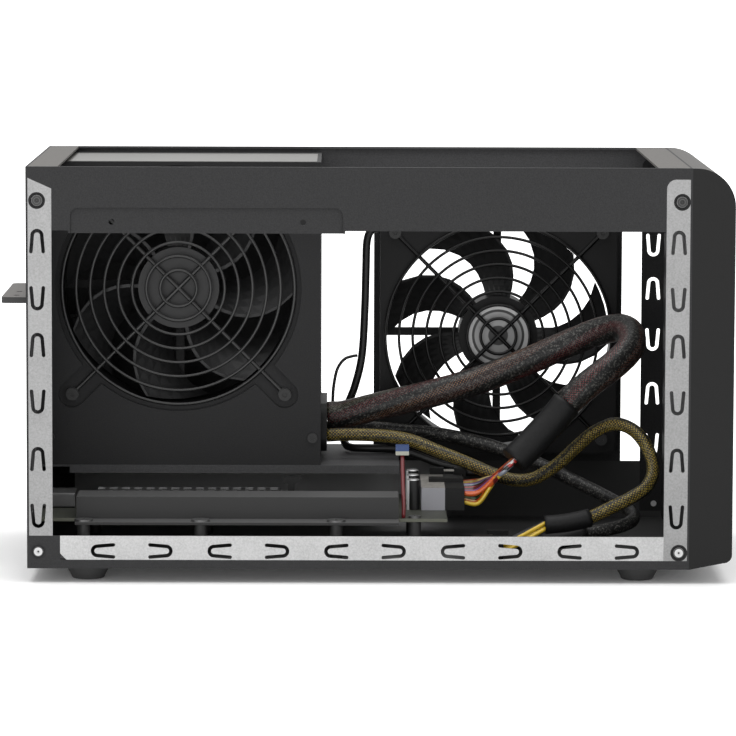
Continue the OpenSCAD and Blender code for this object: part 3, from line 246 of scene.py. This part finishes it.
def bezel_material():
    """Dark, with a painted highlight in the straps' hue where the bezel rounds over to the top."""
    dark, painted_highlight = gray(0.008), (0.080, 0.076, 0.071)
    turn_starts, turn_speed = 0.35, 1.7
    s = Shader("bezel_plastic", dark, 0.5, specular=0.2)
    upward = s.math("MULTIPLY", s.math("SUBTRACT", s.normal()["Z"], turn_starts), turn_speed, clamp=True)
    s.color(s.mix(upward, dark, painted_highlight))
    s.bump(s.noise(2200.0, 3.0, 0.6), 0.2, PAINT_GRAIN)
    return s.material


def slot_material():
    """Black, with the row of bare contacts that glints along the slot's rim."""
    black, glint = gray(0.012), gray(0.17)
    contacts_per_m, gap = 166.7, 0.18
    s = Shader("slot_plastic", black, 0.45, specular=0.3)
    along = s.math("MULTIPLY", s.split(s.place())["X"], contacts_per_m)
    dash = s.above(s.math("PINGPONG", along, 0.5), gap)
    on_top = s.above(s.normal()["Z"], LEANS)
    s.color(s.mix(s.math("MULTIPLY", dash, on_top), black, glint))
    return s.material


def tray_material():
    """The tray's inside: dark in front, with painted light under and behind the board, where the tray lies in
    shade.
    """
    dark, painted_light = gray(0.045), gray(0.32)
    painted_light_behind_x, change_per_m, painted_light_beyond_y = 0.045, 40.0, -0.062
    s = Shader("tray_inside", dark, 0.6, specular=0.16)
    place = s.split(s.place())
    rearward = s.math("MULTIPLY", s.math("SUBTRACT", painted_light_behind_x, place["X"]), change_per_m, clamp=True)
    inward = s.above(place["Y"], painted_light_beyond_y)
    s.color(s.mix(s.math("MULTIPLY", rearward, inward), dark, painted_light))
    return s.material


def indicator_material(height):
    """Blue above the given height, white below it."""
    s = Shader("indicator_plastic", (0.02, 0.07, 0.22), 0.4)
    white, blue = (0.32, 0.32, 0.27), (0.008, 0.035, 0.13)
    s.color(s.mix(s.above(s.split(s.place())["Z"], height), white, blue))
    return s.material


def label_material():
    """A bare label with faint clouds."""
    s = Shader("bare_label", (0.17, 0.165, 0.145), 0.35)
    s.color(s.ramp(s.noise(9.0), [(0.35, (0.077, 0.075, 0.069)), (0.65, (0.12, 0.117, 0.107))]))
    return s.material


def hub_label_material(center):
    """Concentric rings: silver, black, silver and a dark middle; the stops run to 20 mm out."""
    s = Shader("hub_label", gray(0.45), 0.4, metal=0.2)
    r = s.math("MULTIPLY", s.distance(center), 1 / 0.020)
    dark, light, mid = gray(0.008), gray(0.42), gray(0.26)
    s.color(s.ramp(r, [(0.0, dark), (0.245, dark), (0.255, mid), (0.595, mid), (0.605, dark),
                       (0.66, dark), (0.67, light), (1.0, light)]))
    return s.material


def braid(name, stripes, net, cells_round, cells_per_m, net_width, glint_tint=(1.0, 0.98, 0.9)):
    """Open mesh over coloured wires, with painted shade where the wires meet and painted glints on the mesh,
    drawn from the tube's own UV: U goes round, V along in metres.
    """
    turns_per_m, glint_gain = 4.0, 26
    s = Shader(name, gray(0.03), 0.45, specular=0.3)
    uv = s.split(s.place("UV"))
    round_tube, along = uv["X"], uv["Y"]
    wires = s.math("FRACT", s.math("ADD", round_tube, s.math("MULTIPLY", along, turns_per_m)))
    shade = s.math("PINGPONG", s.math("MULTIPLY", wires, float(len(stripes))), 0.5)
    crease_shade = s.math("MULTIPLY", s.math("SUBTRACT", 0.5, shade), 1.2, clamp=True)
    under = s.mix(crease_shade, s.ramp(wires, stripes, "CONSTANT"), gray(0.004))
    across = s.math("MULTIPLY", round_tube, float(cells_round))
    down = s.math("MULTIPLY", along, cells_per_m)
    one_way = s.math("PINGPONG", s.math("ADD", across, down), 0.5)
    other_way = s.math("PINGPONG", s.math("SUBTRACT", across, down), 0.5)
    mesh = s.math("LESS_THAN", s.math("MINIMUM", one_way, other_way), net_width / 2)
    glint = s.noise(900.0, 2.0, 0.6)
    netting = s.ramp(glint, [(0.50, gray(net)), (0.68, gray(net * glint_gain, glint_tint))])
    s.color(s.mix(mesh, under, netting))
    s.bump(mesh, 1.0, MESH_DEPTH)
    return s.material


RED, BROWN, YELLOW = (0.20, 0.028, 0.028), (0.15, 0.055, 0.035), (0.44, 0.31, 0.035)
BLACK, ORANGE, DULL = gray(0.008), (0.26, 0.11, 0.05), (0.14, 0.12, 0.05)
loom_braid = braid("loom_braid", [(0.0, RED), (0.13, BLACK), (0.25, BROWN), (0.38, DULL), (0.46, RED),
                                  (0.58, BLACK), (0.66, ORANGE), (0.74, BROWN), (0.87, BLACK)],
                   net=0.004, cells_round=28, cells_per_m=640.0, net_width=0.56)
lead_braid = braid("lead_braid", [(0.0, YELLOW), (0.28, BLACK), (0.34, YELLOW), (0.6, DULL),
                                  (0.67, YELLOW), (0.9, BLACK)],
                   net=0.007, cells_round=12, cells_per_m=600.0, net_width=0.50,
                   glint_tint=(1.0, 0.85, 0.35))
dark_braid = braid("dark_braid", [(0.0, gray(0.012)), (0.3, DULL), (0.38, BLACK), (0.75, gray(0.02))],
                   net=0.006, cells_round=14, cells_per_m=690.0, net_width=0.42)

WIRES = {
    "orange": (0.55, 0.09, 0.012), "red": (0.36, 0.015, 0.010), "yellow": (0.62, 0.42, 0.025),
    "black": (0.010, 0.010, 0.011), "purple": (0.13, 0.06, 0.20), "gray": (0.25, 0.27, 0.32),
    "green": (0.03, 0.20, 0.05), "cream": (0.75, 0.58, 0.24), "dark_red": (0.14, 0.012, 0.015),
    "white": (0.6, 0.6, 0.58),
}
wire_materials = {k: plain("wire_" + k, v, 0.3, coat=0.2) for k, v in WIRES.items()}


# ---------- pieces ----------
def give_materials(name, materials):
    """Replaces a node's materials and returns its mesh."""
    data = nodes[name].data
    data.materials.clear()
    for m in materials:
        data.materials.append(m)
    return data


def dress(material, *names):
    for name in names:
        give_materials(name, (material,))


def paint_faces(name, materials, pick):
    """Gives each face the material whose number pick returns for its middle, in mm, and its normal."""
    for p in give_materials(name, materials).polygons:
        p.material_index = pick(p.center / MM, p.normal)


def two_sided(name, outer, inner, normal_y):
    """The outward faces of a contact rail are bare; its dishes, edges and inside are painted."""
    paint_faces(name, (inner, outer), lambda c, n: 1 if n.y * normal_y > SQUARE else 0)


def tray_face(c, n):
    """0 on the inside of the base tray: its floor, its ends and the inner face of its far wall."""
    far_wall_y = 60
    return 0 if n.z > -LEANS and abs(n.y) < LEANS or n.y < -LEANS and c.y > far_wall_y else 1


def can_face(c, n):
    """The can's top is bare, and a stripe runs down the side that looks to the rear."""
    return 2 if n.z > LEANS else 1 if n.x < -0.6 and n.y < 0.75 else 0


def fan_header_face(c, n):
    """The pins stand between these two X."""
    return 1 if 39.2 < c.x < 44.1 else 0


HEAD_RADIUS = 0.003
# Painted light and shade on the screw heads: a dark dish with bright rings above, a bright face with a dark
# middle below
UPPER_LIGHT_AND_SHADE = [(0.0, 0.10), (0.16, 0.012), (0.38, 0.012), (0.46, 0.09), (0.56, 0.012), (0.80, 0.05)]
LOWER_LIGHT_AND_SHADE = [(0.0, 0.012), (0.16, 0.012), (0.24, 0.60), (0.62, 0.60), (0.72, 0.03), (0.90, 0.03)]


def head_light_and_shade(name, center, stops):
    """Concentric rings of painted light and shade on a screw's head; the stops run from its middle to its rim.
    """
    s = Shader(name, gray(0.3), 0.4, metal=0.3)
    out = s.math("MULTIPLY", s.distance(center), 1 / HEAD_RADIUS)
    s.color(s.ramp(out, [(at, gray(v)) for at, v in stops]))
    return s.material


def paint_side_screws():
    """Painted light and shade on one zinc: the upper heads are dark and ringed, the lower ones bright with a
    dark middle.
    """
    heads_beyond_y, upper_above_z = 0.08, 0.1
    data = give_materials("side_screws", (screw_zinc,))
    heads = {}
    for p in data.polygons:
        p.material_index = 0
        if abs(p.normal.y) > SQUARE and abs(p.center.y) > heads_beyond_y:
            key = (p.center.x > 0, p.center.y > 0, p.center.z > upper_above_z)
            heads.setdefault(key, []).append(p)
    for number, (key, faces) in enumerate(sorted(heads.items()), 1):
        spots = [data.vertices[v].co for p in faces for v in p.vertices]
        center = [(min(c[i] for c in spots) + max(c[i] for c in spots)) / 2 for i in range(3)]
        center[1] = max((c.y for c in spots), key=abs)
        upper = key[2]
        rings = UPPER_LIGHT_AND_SHADE if upper else LOWER_LIGHT_AND_SHADE
        data.materials.append(head_light_and_shade("screw_head_%d" % number, center, rings))
        for p in faces:
            p.material_index = number


def soften(width_mm, *names):
    for name in names:
        m = nodes[name].modifiers.new("edge", "BEVEL")
        m.width = width_mm * MM
        m.segments = 2
        m.limit_method = "ANGLE"
        m.angle_limit = math.radians(50)
        m.harden_normals = True


def smooth_route(points, steps):
    """A Catmull-Rom curve through the route's points, given in mm."""
    pts = [Vector(p) * MM for p in points]
    ends = [pts[0] * 2 - pts[1]] + pts + [pts[-1] * 2 - pts[-2]]
    out = []
    for i in range(1, len(ends) - 2):
        a, b, c, d = ends[i - 1:i + 3]
        for k in range(steps):
            t = k / steps
            out.append(0.5 * ((2 * b) + (c - a) * t + (2 * a - 5 * b + 4 * c - d) * t * t
                              + (3 * b - a - 3 * c + d) * t ** 3))
    out.append(pts[-1])
    return out


def new_object(name, verts, faces, material):
    """An object in the scene with a mesh of its own."""
    mesh = bpy.data.meshes.new(name)
    mesh.from_pydata(verts, [], faces)
    mesh.materials.append(material)
    obj = bpy.data.objects.new(name, mesh)
    bpy.context.scene.collection.objects.link(obj)
    return obj


def sweep(name, path, radius, sides, material, wobble=0.0):
    """A closed tube along a path with its own UV: U round, V metres along."""
    rings, verts, faces, uvs, lengths = len(path), [], [], [], []
    side = Vector((0, 1, 0))
    along = 0.0
    for i, p in enumerate(path):
        a, b = path[max(i - 1, 0)], path[min(i + 1, rings - 1)]
        way = (b - a).normalized()
        side = (side - way * side.dot(way)).normalized()
        up = way.cross(side)
        if i:
            along += (p - path[i - 1]).length
        lengths.append(along)
        for k in range(sides):
            angle = 2 * math.pi * k / sides
            rr = radius * (1 + wobble * (draw.random() - 0.5))
            verts.append(p + side * rr * math.cos(angle) + up * rr * math.sin(angle))
    for i in range(rings - 1):
        for k in range(sides):
            j = (k + 1) % sides
            faces.append((i * sides + k, i * sides + j, (i + 1) * sides + j, (i + 1) * sides + k))
            uvs.append([(k / sides, lengths[i]), ((k + 1) / sides, lengths[i]),
                        ((k + 1) / sides, lengths[i + 1]), (k / sides, lengths[i + 1])])
    for end in (tuple(range(sides))[::-1], tuple(range((rings - 1) * sides, rings * sides))):
        faces.append(end)
        uvs.append([(0, 0)] * sides)
    obj = new_object(name, verts, faces, material)
    layer = obj.data.uv_layers.new(name="along")
    for face, values in zip(obj.data.polygons, uvs):
        face.use_smooth = len(face.vertices) == 4
        for loop, uv in zip(face.loop_indices, values):
            layer.data[loop].uv = uv
    return obj


def block(name, low, high, material):
    """A box between two corners in millimetres."""
    xs, ys, zs = zip(low, high)
    verts = [(x * MM, y * MM, z * MM) for x in xs for y in ys for z in zs]
    faces = [(0, 1, 3, 2), (4, 6, 7, 5), (0, 4, 5, 1), (2, 3, 7, 6), (0, 2, 6, 4), (1, 5, 7, 3)]
    return new_object(name, verts, faces, material)


def joined(name, objects):
    """Makes one piece of several meshes."""
    bpy.ops.object.select_all(action="DESELECT")
    for o in objects:
        o.select_set(True)
    bpy.context.view_layer.objects.active = objects[0]
    bpy.ops.object.join()
    objects[0].name = name
    objects[0].data.name = name
    return objects[0]


# ---------- case, power supply, fans, board ----------
dress(case_paint, "back_panel", "front_panel", "fan_plate")
# The tray's inside gets painted light under and behind the board
paint_faces("base_tray", (tray_material(), case_paint), tray_face)
dress(lit_shelf_lip_paint, "psu_shelf", "far_top_beam")
dress(shelf_lit_top_paint, "bracket_shelf")
dress(beam_paint, "near_top_beam")
dress(strap_paint, "rear_top_strap", "front_top_strap")
dress(bezel_material(), "front_bezel")
dress(rubber, "feet")
for rail, steel, outward in (
        ("near_rear_rail", rail_steel, -1), ("near_front_rail", rail_steel, -1),
        ("near_bottom_rail", lit_bottom_rail_steel, -1),
        ("far_rear_rail", rail_steel, 1), ("far_front_rail", rail_steel, 1)):
    two_sided(rail, steel, inner_paint, outward)
paint_side_screws()
dress(shaded_zinc, "board_screws")
dress(standoff_metal, "board_standoffs")
dress(screw_black, "psu_guard_screws", "psu_cover_screws", "psu_mount_screws", "side_fan_screws")
dress(psu_paint, "psu_cover", "psu_base")
dress(label_material(), "psu_label")
low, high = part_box("side_fan_label")
dress(hub_label_material((low + high) / 2), "side_fan_label")
dress(guard_wire, "side_fan_guard")
dress(bright_wire, "psu_fan_guard")
dress(fan_plastic, "psu_fan_frame", "side_fan_frame", "side_fan_rotor")
dress(blade_plastic, "psu_fan_rotor")
dress(black_plastic, "power_inlet", "switch_housing", "switch_rocker", "atx_plug", "cable_grommet",
      "slot_latch")
dress(slot_material(), "slot_connector")
dress(cover_lit_top_plastic, "board_cover")
dress(pin_brass, "inlet_pins")
dress(board_mask, "main_board")
dress(port_steel, "host_port")
dress(natural, "power_header")
paint_faces("board_capacitors", (can_sleeve, can_stripe, can_metal), can_face)
paint_faces("fan_header", (black_plastic, pin_tin), fan_header_face)
# The light's white foot ends just below the middle of its plug
low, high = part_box("indicator_plug")
dress(indicator_material((low.z + high.z) / 2 - 0.5 * MM), "indicator_plug")
soften(0.25, "near_top_beam", "far_top_beam", "rear_top_strap", "front_top_strap", "psu_cover",
       "bracket_shelf", "power_header", "atx_plug", "board_cover")
soften(0.5, "front_bezel")

# ---------- cables: the routes repeat those of the part's source ----------
ATX_ROUTE = [
    (-19.5, 41, 65.5), (-9, 41, 66.5), (12, 39, 72), (32, 36, 77), (57, 34, 84.5), (82, 33, 94.5),
    (103, 31, 104), (117, 26, 110), (127, 17, 112.5), (131, 5, 110), (129.5, -7, 104.5), (122, -15, 98),
    (111, -19, 90), (98, -20, 79),
]
SHRINK_ROUTE = [(98, -20, 79), (91, -22, 70.5), (81, -25, 60), (72, -28, 51.5)]
UPPER_ROUTE = [
    (-19.5, 24, 57.5), (-9, 24, 58), (8, 23, 57.5), (22, 21, 55.5), (36, 17, 50.5), (50, 12, 45.5),
    (63, 7, 40.5), (73, 4, 38), (83, 1, 39), (94, -2, 46), (103, -6, 55), (112, -11, 63.5),
    (122, -17, 68.5), (131, -24, 66), (137, -31, 58.5), (139.5, -38, 48.5), (136, -44, 41), (128, -48, 36),
    (118, -51, 31.5), (108, -53, 27),
]
UPPER_SHRINK = [(108, -53, 27), (97, -55.5, 25), (86, -56.5, 24)]
LOWER_ROUTE = [
    (-19.5, 56, 57.5), (-9, 56, 58), (15, 50, 57.5), (38, 43, 56), (58, 36, 52.5), (75, 30, 47.5),
    (90, 24, 42), (108, 16, 34), (122, 5, 28), (130, -9, 24.5), (131, -22, 22), (125, -31, 20),
    (116, -35, 18.5), (107, -36.5, 17.5),
]
LOWER_SHRINK = [(107, -36.5, 17.5), (96, -37.5, 14.5), (85, -38, 13)]
FAN_ROUTE = [
    (7.2, 64, 158), (3, 64, 157.5), (0.5, 63.5, 152), (0, 63, 138), (-0.5, 62.5, 118), (-1.9, 62.3, 94),
    (-5.5, 62.5, 78), (-10, 62.5, 66), (-11.5, 62.5, 56), (-10.5, 60, 49.5), (-7, 53, 47.8), (4, 50, 47.8),
    (16, 49, 47.6), (25, 47.5, 45), (40, 44, 40), (56, 38, 38), (64, 31.5, 38), (60.5, 27, 38.3),
    (50.1, 26.45, 38.6),
]
SENSE_ROUTE = [
    (-19.5, 54, 68), (-17, 54, 68.5), (-16.3, 55, 78), (-14.5, 57, 87), (-11, 59, 92), (-7, 60.5, 93.5),
    (-4.4, 61.5, 93.8),
]
INDICATOR_ROUTE = [(17.9, -57.5, 27.4), (17.9, -57.5, 36), (17.5, -57, 47), (17.2, -56.5, 58)]
# Diameters in millimetres
LOOM, LOOM_SHRINK, LEAD, LEAD_SHRINK, FAN_LEAD, SENSE, STALK = 14, 15, 6.5, 9, 4, 1.6, 2


def cable(name, route, diameter, sides, material, node, steps=5, wobble=0.0):
    path = smooth_route(route, steps)
    piece = sweep(name, path, diameter / 2 * MM, sides, material, wobble)
    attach(piece, "chassis")
    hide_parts(node)
    return piece, path


loom, loom_path = cable("loom_sleeve", ATX_ROUTE, LOOM, 24, loom_braid, "atx_cable", 6, 0.03)
loom_shrink, _ = cable("loom_heat_shrink", SHRINK_ROUTE, LOOM_SHRINK, 20, heat_shrink,
                       "atx_heat_shrink", 6, 0.02)
upper, upper_path = cable("upper_lead_sleeve", UPPER_ROUTE, LEAD, 14, lead_braid,
                          "upper_pcie_lead")
upper_shrink, _ = cable("upper_lead_shrink", UPPER_SHRINK, LEAD_SHRINK, 14, heat_shrink,
                        "upper_pcie_shrink")
lower, lower_path = cable("lower_lead_sleeve", LOWER_ROUTE, LEAD, 14, dark_braid,
                          "lower_pcie_lead")
lower_shrink, _ = cable("lower_lead_shrink", LOWER_SHRINK, LEAD_SHRINK, 14, heat_shrink,
                        "lower_pcie_shrink")
fan_cable, fan_path = cable("fan_lead_cable", FAN_ROUTE, FAN_LEAD, 12, dark_wire, "fan_lead")
sense, sense_path = cable("sense_cable", SENSE_ROUTE, SENSE, 8, dark_wire, "fan_lead")
stalk, stalk_path = cable("indicator_cable", INDICATOR_ROUTE, STALK, 10, wire_materials["dark_red"],
                          "indicator_lead")

# Millimetres: a card plug's length and half its width and height, its catch, and the wires' radii
BODY_LONG, BODY_HALF_WIDE, BODY_HALF_HIGH = 15, 8.5, 4.25
CATCH_LONG, CATCH_HALF_WIDE, CATCH_HIGH = 10, 3, 2.2
CARD_WIRE, BOARD_WIRE = 0.95, 1.05


def card_plug(name, end, front, colors, node):
    """The loose wires below a card lead's sleeve and the plug that they end in."""
    parts = []
    end, front = Vector(end), Vector(front)
    for i, color in enumerate(colors):
        side = (i - (len(colors) - 1) / 2) / (len(colors) / 2)
        lift = 1.3 if i % 2 else -1.3
        start = end + Vector((0.6, 3.0 * side, lift))
        mid = (end + front) / 2 + Vector((0, 6.2 * side, lift * 1.1))
        stop = front + Vector((-0.4, 6.6 * side, lift * 1.2))
        path = smooth_route([start, mid, stop], 6)
        parts.append(sweep("strand", path, CARD_WIRE * MM, 8, wire_materials[color]))
    back, top = front.x - BODY_LONG, front.z + BODY_HALF_HIGH
    parts.append(block("body", (back, front.y - BODY_HALF_WIDE, front.z - BODY_HALF_HIGH),
                       (front.x, front.y + BODY_HALF_WIDE, top), black_plastic))
    parts.append(block("catch", (back, front.y - CATCH_HALF_WIDE, top),
                       (back + CATCH_LONG, front.y + CATCH_HALF_WIDE, top + CATCH_HIGH), black_plastic))
    piece = joined(name, parts)
    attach(piece, "chassis")
    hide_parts(node)
    return piece


upper_plug = card_plug("upper_card_plug", (86, -56.5, 24), (66, -56.5, 12.5),
                       ("yellow", "yellow", "yellow", "black", "yellow", "black"), "upper_pcie_plug")
lower_plug = card_plug("lower_card_plug", (85, -38, 13), (74, -38, 12.5),
                       ("black", "yellow", "black", "yellow", "yellow", "black"), "lower_pcie_plug")

# The loose wires from the loom's shrink to the board's power plug, one row above the other
TOP_ROW = ["orange", "orange", "purple", "dark_red", "black", "red", "black", "gray", "purple", "yellow",
           "cream", "orange"]
LOW_ROW = ["yellow", "orange", "cream", "dark_red", "green", "black", "black", "white", "red", "red",
           "yellow", "orange"]
PLUG_X, PLUG_Y, PLUG_Z = 48, -4.7, 32.9
WIRE_PITCH, ROW_HALF_GAP = 4.0, 1.9
SHRINK_END = Vector((72.4, -28, 52))
ACROSS_END, ALONG_END = Vector((0.66, 0.0, 0.75)), Vector((0, 1, 0))
WAY_OUT = Vector((-5.5, 2.2, -5.2))
INNER_RING, OUTER_RING = 3.2, 5.2
strands = []
for up, colors in ((1, TOP_ROW), (-1, LOW_ROW)):
    for i, color in enumerate(colors):
        y = PLUG_Y + (i - (len(colors) - 1) / 2) * WIRE_PITCH
        z = PLUG_Z + ROW_HALF_GAP * up
        angle = math.pi * (0.5 + (i + 0.5) / len(colors)) * up
        spread = OUTER_RING if i % 2 else INNER_RING
        off = ACROSS_END * spread * math.sin(angle) + ALONG_END * spread * math.cos(angle)
        start = SHRINK_END + off
        out = start + WAY_OUT + off * 0.2
        near = Vector((PLUG_X + 6 + 1.5 * draw.random(), y, z + 0.8 * up))
        middle = (out + near) / 2 + Vector((0.6, 0, 0.3))
        path = smooth_route([start, out, middle, near, (PLUG_X - 0.5, y, z)], 5)
        strands.append(sweep("strand", path, BOARD_WIRE * MM, 8, wire_materials[color]))
fan_out = joined("loose_wires", strands)
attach(fan_out, "chassis")
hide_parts("atx_wires")

# ---------- floor, light and camera ----------
WHITE = (1, 1, 1, 1)
# The floor's own glow, for the camera and reflections only, keeps the shadow near the case and is
# full at a distance: it starts at NEAR_GLOW and rises beyond GLOW_FROM metres
NEAR_GLOW, GLOW_FROM, GLOW_PER_M = 0.04, 0.15, 1.2

bpy.ops.mesh.primitive_plane_add(size=60, location=(0, 0, 0))
floor = bpy.context.active_object
floor.name = "floor"
floor_paint = Shader("floor_white", gray(0.95), 0.9, specular=0.05)
rays = floor_paint.add("ShaderNodeLightPath")
seen = floor_paint.math("MAXIMUM", rays.outputs["Is Camera Ray"], rays.outputs["Is Glossy Ray"])
from_case = floor_paint.distance((0, 0, 0))
rise = floor_paint.math("MULTIPLY", floor_paint.math("SUBTRACT", from_case, GLOW_FROM), GLOW_PER_M, clamp=True)
glow = floor_paint.math("MULTIPLY", seen, floor_paint.math("ADD", rise, NEAR_GLOW))
floor_paint.main.inputs["Emission Color"].default_value = WHITE
floor_paint.link(glow, floor_paint.main.inputs["Emission Strength"])
floor.data.materials.append(floor_paint.material)


def area_light(name, location, target, size, power):
    data = bpy.data.lights.new(name, "AREA")
    data.energy = power
    data.size = size
    obj = bpy.data.objects.new(name, data)
    obj.location = location
    obj.rotation_euler = (Vector(target) - Vector(location)).to_track_quat("-Z", "Y").to_euler()
    bpy.context.scene.collection.objects.link(obj)


area_light("top_light", (0.0, -0.2, 1.6), (0, 0, 0.1), 1.8, 23)
area_light("front_light", (-0.7, -2.4, 0.2), (0, 0, 0.06), 1.2, 13)
area_light("right_light", (1.7, -1.0, 0.8), (0.1, 0, 0.1), 1.0, 3)

# The world is white to the camera and in reflections, and gives a weaker, even light
SEEN_WORLD, LIGHT_WORLD = 1.0, 0.66
world = bpy.data.worlds.new("studio")
bpy.context.scene.world = world
world.use_nodes = True
tree = world.node_tree
tree.nodes.clear()


def background(strength):
    n = tree.nodes.new("ShaderNodeBackground")
    n.inputs["Color"].default_value = WHITE
    n.inputs["Strength"].default_value = strength
    return n.outputs["Background"]


ray = tree.nodes.new("ShaderNodeLightPath")
straight = tree.nodes.new("ShaderNodeMath")
straight.operation = "MAXIMUM"
blend = tree.nodes.new("ShaderNodeMixShader")
result = tree.nodes.new("ShaderNodeOutputWorld")
for source, target in (
        (ray.outputs["Is Camera Ray"], straight.inputs[0]),
        (ray.outputs["Is Glossy Ray"], straight.inputs[1]),
        (straight.outputs[0], blend.inputs["Fac"]),
        (background(LIGHT_WORLD), blend.inputs[1]),
        (background(SEEN_WORLD), blend.inputs[2]),
        (blend.outputs["Shader"], result.inputs["Surface"])):
    tree.links.new(source, target)

CAM_PLACE = (-0.0106858, -2.1780334, 0.3257002)
CAM_YAW, CAM_PITCH, CAM_ROLL = -0.0053, 0.106, 0.0032
camera_data = bpy.data.cameras.new("camera")
camera_data.sensor_width = 36
camera_data.lens = 217.05
camera_data.clip_start = 0.05
camera = bpy.data.objects.new("camera", camera_data)
bpy.context.scene.collection.objects.link(camera)
camera.matrix_world = (
    Matrix.Translation(CAM_PLACE)
    @ Matrix.Rotation(CAM_YAW, 4, "Z")
    @ Matrix.Rotation(math.pi / 2 - CAM_PITCH, 4, "X")
    @ Matrix.Rotation(CAM_ROLL, 4, "Z")
)
bpy.context.scene.camera = camera
bpy.context.scene.view_settings.view_transform = "Standard"
